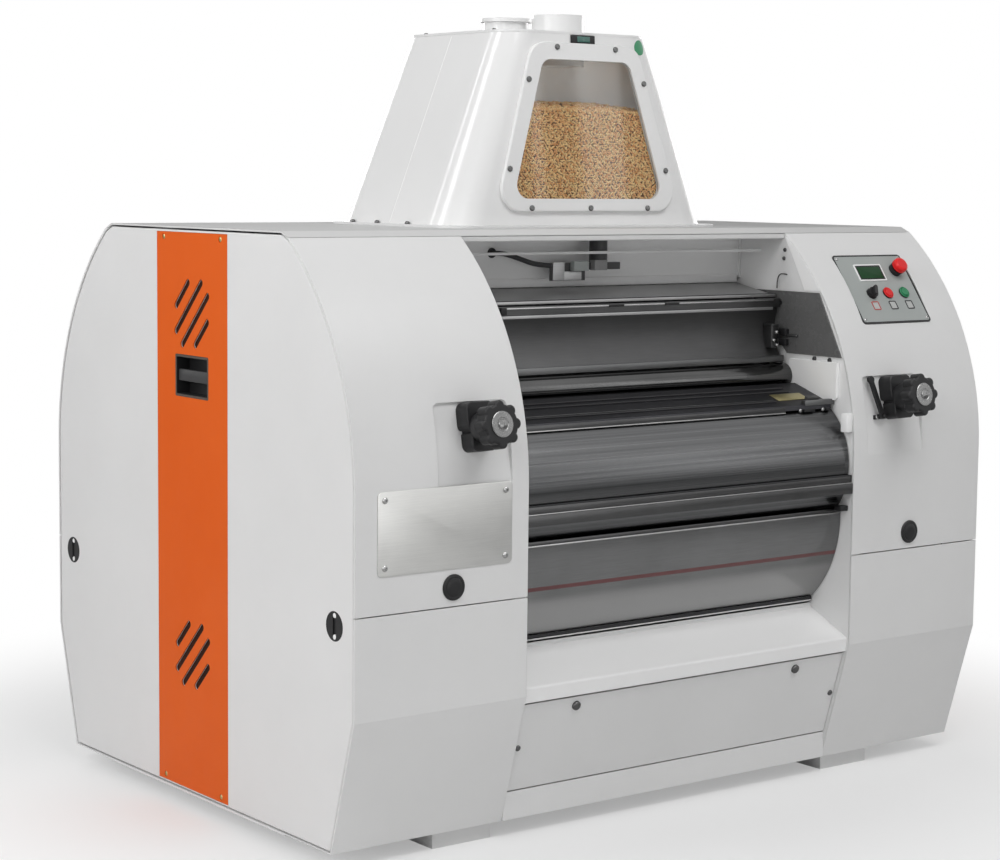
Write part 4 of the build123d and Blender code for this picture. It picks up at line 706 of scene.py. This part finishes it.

# %% [markdown]
# ## End covers
# Each end cover carries a recessed pull in its orange strip, four strip screws and dark backs behind
# its vents, whose brown is painted shade. They ride on the cover, so they leave with it. Two pale
# glints in the key slot of each latch are painted highlights and turn with it. Nothing stands proud of
# the cover, whose face is the end of the mill.

# %% End covers
END_X = 0.95
PULL_Z, LATCH_Y, LATCH_Z, GLINT_LIFT = 1007, 593, 530, 22.9
STRIP_SCREWS = [(y, z) for y in (-127, 127) for z in (61, 1321)]
VENT_MIDDLES = (366, 1150)
cup_lip, cup_mouth, cup_floor = [outline_points(*size, (0, PULL_Z))
                                 for size in ((149, 96, 4), (137, 84, 3), (4, 4, 1))]
CUP = [(cup_lip, -3.0), (cup_lip, -0.2), (cup_mouth, -0.2), (cup_mouth, -34), (cup_floor, -34.2)]
for side, sign in SIDES:
    cover = f"{side}_end_cover"
    cover_place = stand_on((sign * END_X, 0, 0), (sign, 0, 0), (0, sign, 0))
    make_piece(f"{side}_pull_cup", cover_place, black_plastic, (add_loops, CUP, False), body=cover)
    make_piece(f"{side}_pull_frame", cover_place, pull_plastic,
               (add_frame, 149, 96, 4, 5, -0.25, 0.0, (0, PULL_Z)), body=cover)
    make_piece(f"{side}_pull_grip", cover_place, dark_plastic,
               (add_bar, (-69, PULL_Z - 13, -14), (69, PULL_Z + 14, -5), 3), body=cover)
    make_piece(f"{side}_strip_screws", cover_place, brass,
               *[(add_screw, spot, 6, 2.9, -2.95) for spot in STRIP_SCREWS], body=cover)
    for end, y in (("front", -LATCH_Y), ("rear", LATCH_Y)):
        # Painted highlights: two pale glints on each latch's rim, drawn as small plates.
        make_piece(f"{side}_{end}_latch_glints", cover_place, bright_coat,
                   *[(add_plate, 11.5, 10.6, 5.2, -3.1, -0.15, (sign * y, LATCH_Z + lift), 0.3)
                     for lift in (-GLINT_LIFT, GLINT_LIFT)], body=f"{side}_{end}_latch")
    # Painted shade: dark brown backs inside the vents.
    make_piece(f"{side}_vent_backs", cover_place, vent_shade,
               *[(add_bar, (-88, middle - 84, -8), (88, middle + 84, -4.5), 0.5) for middle in VENT_MIDDLES],
               body=cover)
print("end pieces made")

# %% [markdown]
# ## Feed tray and gate
# The tray that the grain slides down is lighter than the apron below it, so it gets a liner sheet
# and a folded lip. A ray cast down onto the CAD sheet gives the tray's slope, so the liner lies flat on
# it. The gate bar has a bright upper edge, whose brightness is a painted highlight, a paler lower bar,
# two black clips and an end block; they ride on the gate and tip with it.

# %% Feed tray and gate
SHEET = 489
GATE = "{end}_feed_gate"
tray_back, tray_normal = surface_at("feed_plates", (0, -0.30, 1.215), TO_FLOOR)
twin_bars("tray_liner", tray_steel, ((-SHEET, -83, 0.05), (SHEET, 46, 0.9)), edge=0.3,
               place=TO_MM @ stand_on(tray_back, tray_normal))
twin_bars("tray_lip", tray_steel, ((-SHEET, -397, 1174.6), (SHEET, -386, 1181.6)))
twin_bars("tray_seal", lead_rubber, ((-SHEET, -396, 1181.5), (SHEET, -388, 1183.4)))
# Painted highlight: the gate's bright upper edge.
twin_bars("gate_edge", edge_highlight_steel, ((-372, -414, 1165.4), (466, -411.8, 1168.6)), body=GATE)
twin_bars("gate_groove", lead_rubber, ((-480, -412.5, 1150.2), (466, -411.8, 1152.0)), edge=0.2, body=GATE)
twin_bars("gate_foot", tray_steel, ((-480, -413.4, 1143.4), (465, -408, 1150.3)), body=GATE)
twin_bars("gate_clips", black_plastic, ((-67, -416, 1164), (-22, -411.5, 1169.6)),
               ((108, -416, 1164), (152, -411.5, 1169.6)), ((-388, -418, 1153), (-372, -410, 1170)), body=GATE)
# Painted highlight: the lighter lip where the apron's lower end turns up and catches the light.
twin_bars("lit_apron_lip", guard_steel, ((-SHEET, -431.5, 1014.6), (SHEET, -425.5, 1031)), edge=1.5)
print("feed trim made, tray at", [round(c, 4) for c in tray_back])

# %% [markdown]
# ## Hood
# Black ribs, painted shade for the gaps between its sheets, and one pale rod run along the hood; its
# lip carries a wiper whose bright edge is a painted highlight. The strips are measured down the hood's
# slope, which a ray cast finds, so that they lie on it.

# %% Hood
HOOD_TOP_Y, HOOD_PROBE_Y, LIP_RIGHT = 470.0, 520.0, 335
hood_spot, hood_normal = surface_at("roll_guards", (0, -HOOD_PROBE_Y * MM, 1.0), TO_FLOOR)
hood_place = TO_MM @ stand_on(hood_spot, hood_normal)
slope_zero = (HOOD_PROBE_Y - HOOD_TOP_Y) / abs(hood_normal.z)


def hood_bars(label, finish, *strips, edge=0.5):
    """Strips on the hood, by X range, distance down the slope and height above it."""
    twin_bars(label, finish, *[((x_low, slope_zero - far, 0), (x_high, slope_zero - near, high))
                                    for x_low, x_high, near, far, high in strips], edge=edge, place=hood_place)


# Painted shade: dark ribs where the hood's sheets meet.
hood_bars("hood_gap_shade", lead_rubber, (-SHEET, 420, 28, 33, 2.4), (-SHEET, 420, 49, 54, 2.4),
          (-SHEET, 330, 102, 108, 2.4))
hood_bars("hood_rod", guard_steel, (-SHEET, 330, 94, 97, 1.6))
hood_bars("hood_brass", brass, (345, 445, 64, 100, 1.6))
hood_bars("hood_stop", dark_plastic, (416, 455, 112, 124, 15), edge=1.5)
twin_bars("hood_wiper", gate_steel, ((-SHEET, -599, 908.6), (LIP_RIGHT, -595.5, 921.4)))
# Painted highlight: the bright edge of the hood's lip.
twin_bars("hood_edge", edge_highlight_steel, ((-SHEET, -600, 906.4), (LIP_RIGHT, -596.5, 909)))
twin_bars("hood_bracket", guard_steel, ((400, -600, 921.8), (499.3, -586, 935)), edge=1.2)
twin_bars("hood_clips", black_plastic, ((396, -602, 907), (432, -594, 914.5)),
               ((470, -602, 907), (484, -594, 914)), edge=1)
print("hood at", [round(c, 4) for c in hood_spot])

# %% [markdown]
# ## Bar and lower guard
# The ledged bar in front of the roll has a black seal on top and a bright ledge, a painted highlight. The
# lower guard carries a thin red line and a bright top edge, a painted highlight, and ends in a black
# rubber foot, whose black also paints the shade line at its foot, over a white sleeve on its hinge tube,
# above a bed on the apron. What drops with the guard rides on it; the bar and the bed stay with the frame.

# %% Bar and lower guard
SPAN, GUARD = 499, "{end}_lower_guard"
GUARD_HALF, HINGE_Y, HINGE_Z = 497, 0.532, 0.432
SLEEVE = [(7.05, -496), (7.4, -496), (7.5, -495), (7.5, 495), (7.4, 496), (7.05, 496), (7.05, -496)]
twin_bars("bar_seal", lead_rubber, ((-SPAN, -664.4, 751.6), (SPAN, -657.6, 754.2)))
twin_bars("bar_facing", gate_steel, ((-SPAN, -664.8, 737), (SPAN, -664.0, 751.4)),
               ((-SPAN, -668.7, 709.4), (SPAN, -668.0, 733.4)), edge=0.2)
# Painted highlights: the bar's bright ledge and the guard's bright top edge.
twin_bars("bar_ledge", edge_highlight_steel, ((-SPAN, -667.6, 733.8), (SPAN, -662.8, 736)), edge=0.4)
twin_bars("guard_edge", edge_highlight_steel, ((-GUARD_HALF, -632.4, 656.6), (GUARD_HALF, -626.5, 660)), body=GUARD)
twin_bars("guard_seal", gate_steel, ((-GUARD_HALF, -631, 660.6), (GUARD_HALF, -626.5, 668.5)), edge=1.2,
               body=GUARD)
# Partly painted shade: the black foot also stands for the shade line where the guard meets its hinge.
twin_bars("guard_shade_foot", lead_rubber, ((-496, -541.5, 429.6), (496, -537.5, 437.2)), edge=0.4, body=GUARD)
twin_bars("hinge_bed", white_coat, ((-498, -537, 409), (498, -533.5, 420.8)), edge=0.4)
line_spot, line_normal = surface_at("front_lower_guard", (0, -0.9, 0.559), TO_REAR)
line_place = TO_MM @ stand_on(line_spot, line_normal)
for (end, mirror), hinge_y in zip(BOTH_ENDS, (-HINGE_Y, HINGE_Y)):
    make_piece(f"{end}_guard_line", mirror, line_film,
               (add_bar, (-GUARD_HALF, -4.8, -0.1), (GUARD_HALF, 4.8, 0.35), 0.1, line_place),
               body=f"{end}_lower_guard")
    hinge_place = Matrix.Translation((0, hinge_y, HINGE_Z)) @ Matrix.Rotation(pi / 2, 4, "Y") @ IN_PLACE
    # Painted light: the sleeve's lighter white carries the apron's brightness up to the guard.
    make_piece(f"{end}_hinge_sleeve", hinge_place, bright_coat, (add_turned, SLEEVE, 28),
               body=f"{end}_lower_guard")
print("guard line at", [round(c, 4) for c in line_spot])

# %% [markdown]
# ## Level sensor dress
# In the feed chamber the sensor's dark body carries a pale stepped bracket, a white junction box and a
# grey block, and a thin rail crosses in front of it from wall to wall. Plain bars are enough here, in
# the shade of the chamber.

# %% Level sensor dress
SENSOR_BARS = (
    ("sensor_bracket", tray_steel, ((-151, -306.4, 1223), (-116, -303, 1266)),
     ((-118, -306.4, 1223), (-64, -303, 1243.6))),
    ("junction_box", panel_coat, ((-96, -318, 1245), (-51, -302, 1268))),
    ("sensor_block", grey_plastic, ((-38, -325, 1246), (0, -305, 1270))),
    ("front_flap", inner_coat, ((-SHEET, -254.5, 1206), (SHEET, -251.2, 1226))),
    ("rear_flap", inner_coat, ((-SHEET, 251.2, 1206), (SHEET, 254.5, 1226))),
    ("chamber_rail", inner_coat, ((-SPAN, -332, 1285.5), (SPAN, -328, 1292))),
    ("corner_strip", white_coat, ((493.5, -257, 1217), (499.4, -250.5, 1318))))
for label, finish, *bars in SENSOR_BARS:
    make_piece(label, IN_PLACE, finish, *[(add_bar, low, high) for low, high in bars])
print("sensor pieces", len(SENSOR_BARS))

# %% [markdown]
# ## Right-wall fittings
# Beside the rolls the right wall carries a bearing boss, bolts, a bent jamb flange and a wire hook. The
# boss and the flange wear lighter copies of the white paint, painted light where the wall is lit.
# They are drawn flat on the wall, forward and up, and a matrix turns the drawing upright; the hook is
# a ring of points carried along its bends.

# %% Right-wall fittings
WALL = Matrix(((0, 0, -1, 499.8), (-1, 0, 0, 0), (0, 1, 0, 0), (0, 0, 0, 1)))
BOSS_MIDDLE, BOSS_LEFT, BOSS_LOW, BOSS_RADIUS = (530, 978), 446, 932, 58
LIT_JAMB_FLANGE = [(415, 1324), (451, 1263), (488, 1194), (542, 1194), (515, 1230), (486, 1263), (455, 1295),
               (421, 1324)]
HOOK = [(424, 1231, 0), (423, 1232, 5), (420, 1232.5, 9), (413, 1232, 10), (406, 1228, 10), (402, 1220, 10),
        (399.5, 1208, 9.5), (399, 1196, 9)]
WALL_SCREWS = ((415.8, 1291.7, 5), (413, 1270.6, 5), (527.6, 1027.5, 6.5), (579.7, 1026.9, 6.5))


def add_wire(bm, points, radius, sides=10):
    """A bent wire of round section through a few points."""
    rows = []
    for k, spot in enumerate(points):
        ahead = (Vector(points[min(k + 1, len(points) - 1)]) - Vector(points[max(k - 1, 0)])).normalized()
        across = (across - ahead * across.dot(ahead) if k else ahead.orthogonal()).normalized()
        other = ahead.cross(across)
        rows.append([bm.verts.new(Vector(spot) + radius * (across * cos(a) + other * sin(a)))
                     for a in [2 * pi * i / sides for i in range(sides)]])
    join_loops(bm, rows)
    bm.faces.new(list(reversed(rows[0])))
    bm.faces.new(rows[-1])


def add_boss(bm):
    """A thick wall plate whose lower inner corner is a big radius."""
    points = [(612, 1024), (450, 1024), (BOSS_LEFT, 1020), (BOSS_LEFT, BOSS_LOW + BOSS_RADIUS)]
    for angle in range(15, 105, 15):
        points.append((BOSS_LEFT + BOSS_RADIUS * (1 - cos(radians(angle))),
                       BOSS_LOW + BOSS_RADIUS * (1 - sin(radians(angle)))))
    points += [(606, BOSS_LOW), (612, 938)]
    y, z = BOSS_MIDDLE
    add_loops(bm, [([(y + (py - y) * share, z + (pz - z) * share) for py, pz in points], height)
                   for height, share in ((0, 1.0), (7.8, 1.0), (8.8, 0.985))])


for end, mirror in BOTH_ENDS:
    wall_place = mirror @ WALL
    # Painted light: the boss wears the lighter seam paint.
    make_piece(f"{end}_wall_boss", wall_place, seam_coat, (add_boss,))
    make_piece(f"{end}_boss_slot", wall_place, dark_plastic, (add_plate, 24, 9, 4.4, 8.7, 9.2, (484, 951), 0.2))
    make_piece(f"{end}_wall_screws", wall_place, dark_plastic,
               *[(add_screw, (y, z), radius, 4, 0.2) for y, z, radius in WALL_SCREWS])
    # Painted highlight: the flange's pale plate follows the lit patch on the jamb.
    make_piece(f"{end}_lit_jamb_flange", wall_place, bright_coat,
               (add_loops, [(LIT_JAMB_FLANGE, 0.1), (LIT_JAMB_FLANGE, 1.4)]))
    make_piece(f"{end}_wall_hook", wall_place, gate_steel, (add_wire, HOOK, 1.6))
print("wall fittings made")

# %% [markdown]
# ## Hinge blocks and bolts
# At the right end the apron hangs on a dark hinge block with stops, a rod and three bolts, and the
# guard closes on a catch. These are blocks and screws, so the bar and screw helpers serve again.

# %% Hinge blocks and bolts
HINGE_BOLTS, HINGE_FACE_Y = ((468, 1088), (459, 1068), (470, 1056)), -423.8
HOOD_BOLTS, HOOD_FACE_Y = ((386, 911), (462, 911)), -596
# Painted light: the wall block wears the lighter copy of the white paint.
twin_bars("wall_block", bright_coat, ((478, -664, 858), (499.6, -642, 904)), edge=3)
twin_bars("hinge_block", gate_steel, ((452, -424, 1049), (474, -393, 1105)), edge=2)
twin_bars("hinge_top", guard_steel, ((451, -425, 1104.5), (475, -393, 1108.5)), edge=0.8)
twin_bars("hinge_stops", black_plastic, ((483, -441, 1079), (495.2, -416, 1097)),
               ((483, -441, 1055), (495.2, -416, 1071)), edge=1.5)
twin_bars("hinge_rod", guard_steel, ((488, -474, 1077.5), (495.2, -412, 1084)), edge=2.5)
twin_bars("guard_catch", black_plastic, ((474, -655, 665), (499.6, -634, 678)), edge=2)
for end, mirror in BOTH_ENDS:
    for label, bolts, y, height in (("hinge", HINGE_BOLTS, HINGE_FACE_Y, 5),
                                    ("hood", HOOD_BOLTS, HOOD_FACE_Y, 4)):
        face_place = mirror @ Matrix(((1, 0, 0, 0), (0, 0, -1, y), (0, 1, 0, 0), (0, 0, 0, 1)))
        make_piece(f"{end}_{label}_bolts", face_place, bright_steel,
                   *[(add_screw, spot, 5, height) for spot in bolts])
print("hinge blocks and bolts made")

# %% [markdown]
# ## Hopper trim
# On the hopper: a plain green marker by the window, a small black block with a teal sight glass above
# it, and the folded seam that runs down the middle of each side. The marker is a film laid on the
# rounded corner, so each of its points is dropped onto the shell; a flat disc would stand off it.
# Inside, the inlet's tube hangs below the lid.

# %% Hopper trim
HOPPER_FOOT, HOPPER_TOP = 1.352, 1.806
HALF_WIDTH, HALF_DEPTH, WIDTH_TAPER, DEPTH_TAPER = 0.410, 0.252, 0.182, 0.030
DOT_AT, DOT_RADIUS, DOT_RINGS, DOT_STEPS = (178, 428), 18.5, 8, 40
LID_BOLTS = ((-205, 142), (-205, -137), (205, 142), (205, -137))
lean = atan2(DEPTH_TAPER, HOPPER_TOP - HOPPER_FOOT)
slope = atan2(WIDTH_TAPER, HOPPER_TOP - HOPPER_FOOT)
window_place = stand_on((0, -HALF_DEPTH, HOPPER_FOOT), (0, -cos(lean), sin(lean)))


def add_film_dot(bm):
    """A round film: an under and an upper face dropped onto the shell, and a rim between them."""
    rims = []
    for lift in (0.1, 0.8):
        rings = []
        for ring in range(DOT_RINGS + 1):
            reach = DOT_RADIUS * ring / DOT_RINGS
            spots = []
            for turn in [2 * pi * step / DOT_STEPS for step in range(DOT_STEPS if ring else 1)]:
                flat = Vector((DOT_AT[0] + reach * cos(turn), DOT_AT[1] + reach * sin(turn), 60))
                spot, normal = surface_at("hopper_shell", window_place @ flat, TO_REAR)
                spots.append(bm.verts.new((spot + normal * lift * MM) / MM))
            rings.append(spots)
        join_loops(bm, rings)
        rims.append(rings[-1])
    join_loops(bm, rims)


make_piece("marker_dot", IN_PLACE, dot_film, (add_film_dot,))
make_piece("window_catch", window_place, black_plastic, (add_bar, (-41, 433, 0.1), (30, 453.6, 7), 1.5))
make_piece("sight_glass", window_place, teal_film, (add_bar, (-25, 436.5, 5), (14, 450.5, 7.8), 1.0))
for side, sign in SIDES:
    seam_place = stand_on((sign * HALF_WIDTH, 0, HOPPER_FOOT), (sign * cos(slope), 0, sin(slope)),
                          (0, sign, 0))
    # Painted highlight: the seam's lighter paint stands for the light on the bend.
    make_piece(f"hopper_seam_{side}", seam_place, seam_coat, (add_bar, (-1.2, 4, -0.4), (1.2, 484, 0.5), 0.3))
lid_top, _ = surface_at("hopper_lid", (-0.205, 0.142, 2.0), TO_FLOOR)
make_piece("lid_bolts", stand_on((0, 0, lid_top.z), TO_TOP), screw_steel,
           *[(add_screw, spot, 6, 5) for spot in LID_BOLTS])
make_piece("inlet_tube", stand_on((0.055, -0.055, 1.8), TO_TOP), white_coat,
           (add_turned, [(61, -62), (65, -62), (65, -0.4), (61, -0.4), (61, -62)], 64))
print("hopper trim made, lid at", round(lid_top.z, 4))

# %% [markdown]
# ## Grain
# Through the window you see single kernels, so the heap is built of them: thousands of small pointed
# grains laid just behind the pane and over the heap's top, on a dark core that shows in the gaps. A
# particle system could scatter them, but one seeded random draw keeps every run the same, and all
# kernels are one mesh.

# %% Grain
random.seed(7)
KERNEL_SIDES = 6
KERNEL_LENGTH, KERNEL_WIDTH = (4.2, 5.4), (1.9, 2.4)
KERNEL = [[(-1.0, 0.0, 0.0)]]
for radius, along in ((0.62, -0.72), (1.0, -0.1), (0.85, 0.55)):
    KERNEL.append([(along, radius * cos(a * pi / 3), radius * sin(a * pi / 3))
                   for a in range(KERNEL_SIDES)])
KERNEL.append([(1.0, 0.0, 0.0)])
kernel_verts, kernel_faces = [], []


def add_kernel(at, spin):
    """Appends one wheat kernel as an island of vertices and faces."""
    length, width = random.uniform(*KERNEL_LENGTH) * MM, random.uniform(*KERNEL_WIDTH) * MM
    rings = []
    for ring in KERNEL:
        rings.append(list(range(len(kernel_verts), len(kernel_verts) + len(ring))))
        kernel_verts.extend(spin @ Vector((x * length, y * width, z * width)) + at for x, y, z in ring)
    kernel_faces.extend(loop_faces(rings))


def hopper_half(z, inset):
    """Half width and half depth inside the hopper at a height."""
    share = (z - HOPPER_FOOT) / (HOPPER_TOP - HOPPER_FOOT)
    return HALF_WIDTH - WIDTH_TAPER * share - inset, HALF_DEPTH - DEPTH_TAPER * share - inset


def turned_by(angle, axis):
    """A rotation about one axis."""
    return Matrix.Rotation(angle, 3, axis)


GRAIN_FLOOR, GRAIN_TOP, PANE_BACK, PANE_HALF, CORNER = 1.392, 1.622, 0.0032, 0.26, 0.10
PITCH_X, PITCH_Z, HIGH_SIDE, LOW_SIDE, CROWN, LOOSE = 6.2 * MM, 5.4 * MM, 0.012, 0.004, 0.024, 6000
for row in range(int((GRAIN_TOP + HIGH_SIDE - GRAIN_FLOOR) / PITCH_Z)):
    for column in range(int(2 * PANE_HALF / PITCH_X)):
        x = -PANE_HALF + (column + row % 2 / 2) * PITCH_X + random.uniform(-1.8, 1.8) * MM
        z = GRAIN_FLOOR + row * PITCH_Z + random.uniform(-1.6, 1.6) * MM
        if z > GRAIN_TOP + max(LOW_SIDE, HIGH_SIDE - 0.022 * (x + 0.2) / 0.4):
            continue
        half_x, half_y = hopper_half(z, PANE_BACK + random.uniform(0.0, 2.2) * MM)
        if abs(x) > half_x - CORNER:
            continue
        lie = random.choice((0.7, 0.7, 2.3, random.uniform(0, pi))) + random.uniform(-0.35, 0.35)
        add_kernel(Vector((x, -half_y, z)), turned_by(lie, "Y") @ turned_by(random.uniform(-0.2, 0.2), "Z"))
half_x, half_y = hopper_half(GRAIN_TOP + 0.02, 0.012)
for _ in range(LOOSE):
    x, y = random.uniform(-half_x, half_x), random.uniform(-half_y, half_y)
    corner_x, corner_y = abs(x) - half_x + CORNER, abs(y) - half_y + CORNER
    if corner_x > 0 and corner_y > 0 and hypot(corner_x, corner_y) > CORNER:
        continue
    crown = CROWN * min(1.0, 2 * min(1 - abs(x) / half_x, 1 - abs(y) / half_y))
    spin = turned_by(random.uniform(0, 2 * pi), "Z") @ turned_by(random.uniform(-0.5, 0.5), "Y")
    add_kernel(Vector((x, y, GRAIN_TOP + crown + random.uniform(0.0, 0.004))), spin)
kernel_mesh = bpy.data.meshes.new("loose_kernels")
kernel_mesh.from_pydata(kernel_verts, [], kernel_faces)
kernels = add_object("loose_kernels", kernel_mesh)
kernel_mesh.materials.append(wheat_finish)
kernel_mesh.shade_smooth()
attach(kernels, "mill_frame")
print("kernels", len(kernel_verts) // (3 * KERNEL_SIDES + 2))

# %% [markdown]
# ## World
# The mill stands in plain soft light. The world is white to the camera, to mirrors and through glass,
# and gives a gentle sky to everything else. One background could do both only by lighting the mill
# as brightly as it looks.

# %% World
WHITE = (1, 1, 1, 1)
world = bpy.data.worlds.new("studio")
scene.world = world
world.use_nodes = True
sky = world.node_tree
sky.nodes.clear()
sky_ray = add_node(sky, "LightPath").outputs
clear_ray = calculate(sky, "MAXIMUM", sky_ray["Is Glossy Ray"], sky_ray["Is Transmission Ray"])
seen_ray = calculate(sky, "MAXIMUM", sky_ray["Is Camera Ray"], clear_ray)
sky_place = add_node(sky, "TexCoord").outputs["Generated"]
sky_height = add_node(sky, "SeparateXYZ", Vector=sky_place).outputs["Z"]
dome = between(sky, sky_height, (0.45, 0.45, 0.46), (0.85, 0.85, 0.86), 0.0, 0.9)
soft_sky = add_node(sky, "Background", Color=dome, Strength=0.05).outputs["Background"]
plain_white = add_node(sky, "Background", Color=WHITE, Strength=1.0).outputs["Background"]
sky_mix = add_node(sky, "MixShader", None, (seen_ray, soft_sky, plain_white))
add_node(sky, "OutputWorld", Surface=sky_mix.outputs["Shader"])
print("world nodes", len(sky.nodes))

# %% [markdown]
# ## Floor
# A pale floor takes the mill's shadow and fades into the white background away from it. Seen by the
# camera it turns into plain white with distance; for all other rays it stays a matt cloth.

# %% Floor
FLOOR_HALF, FADE_FROM, FADE_TO, WHITE_NEAR = 40.0, 0.9, 2.2, 0.35
floor_drawing = bmesh.new()
bmesh.ops.create_grid(floor_drawing, x_segments=2, y_segments=2, size=FLOOR_HALF)
floor_mesh = bpy.data.meshes.new("floor")
floor_drawing.to_mesh(floor_mesh)
floor_drawing.free()
floor = add_object("floor", floor_mesh)
floor_finish = bpy.data.materials.new("pale_floor")
floor_finish.use_nodes = True
floor_tree = floor_finish.node_tree
floor_tree.nodes.clear()
floor_ray = add_node(floor_tree, "LightPath").outputs["Is Camera Ray"]
floor_place = add_node(floor_tree, "TexCoord").outputs["Object"]
reach = add_node(floor_tree, "VectorMath", {"operation": "LENGTH"}, (floor_place,)).outputs["Value"]
fade = value_between(floor_tree, reach, WHITE_NEAR, 1.0, FADE_FROM, FADE_TO, "SMOOTHSTEP")
cloth = add_node(floor_tree, "BsdfDiffuse", Color=(0.86, 0.86, 0.86, 1)).outputs["BSDF"]
glow = add_node(floor_tree, "Emission", Color=WHITE, Strength=1.0).outputs["Emission"]
floor_mix = add_node(floor_tree, "MixShader", None,
                     (calculate(floor_tree, "MULTIPLY", fade, floor_ray), cloth, glow))
add_node(floor_tree, "OutputMaterial", Surface=floor_mix.outputs["Shader"])
floor_mesh.materials.append(floor_finish)
print("floor", 2 * FLOOR_HALF, "m wide")

# %% [markdown]
# ## Lamps
# Large area lamps stand round the mill as soft boxes stand in a studio. Two narrow ones draw the
# streaks on the hopper's corner, two thin strips the reflections in its window, and a small lamp under
# the lid lights the grain.


# %% Lamps
def soft_box(name, at, look_at, size, power, tint=(1, 1, 1)):
    """A large rectangular lamp that faces a point."""
    lamp = bpy.data.lights.new(name, "AREA")
    lamp.shape = "RECTANGLE"
    lamp.size, lamp.size_y = size
    lamp.energy = power
    lamp.color = tint
    holder = add_object(name, lamp)
    holder.location = at
    holder.rotation_euler = (Vector(look_at) - Vector(at)).to_track_quat("-Z", "Y").to_euler()


MIDDLE, HOPPER_CORNER, WINDOW = (0, 0, 0.9), (-0.31, -0.19, 1.57), (0, -0.24, 1.6)
soft_box("top_front_box", (0, -3.0, 4.8), MIDDLE, (4.0, 2.0), 111)
soft_box("left_box", (-5.5, -0.6, 2.6), MIDDLE, (3.5, 3.0), 90)
soft_box("left_front_box", (-4.6, -4.0, 3.4), MIDDLE, (3.0, 2.5), 44)
soft_box("low_front_box", (0, -6.0, 0.9), MIDDLE, (5.0, 1.2), 28)
soft_box("rear_box", (1.5, 5.2, 3.2), MIDDLE, (4.0, 2.5), 90)
soft_box("right_box", (5.5, 1.2, 1.3), MIDDLE, (3.5, 2.0), 60)
soft_box("corner_streak", (-3.4, 0.33, 4.02), HOPPER_CORNER, (0.9, 1.8), 34)
soft_box("corner_hairline", (-2.7, 2.04, 3.65), HOPPER_CORNER, (0.35, 1.6), 10)
soft_box("window_strip", (3.25, -4.05, 2.2), WINDOW, (0.20, 2.2), 3.6)
soft_box("window_hairline", (2.95, -4.15, 2.2), WINDOW, (0.05, 2.2), 0.9)
soft_box("hopper_lamp", (0, 0.08, 1.79), (0, 0.1, 1.6), (0.2, 0.15), 0.42, (0.80, 0.91, 1.0))
print("lamps", len(bpy.data.lights))

# %% [markdown]
# ## Update the scene
# The view layer is brought up to date once more.

# %% Update the scene
bpy.context.view_layer.update()
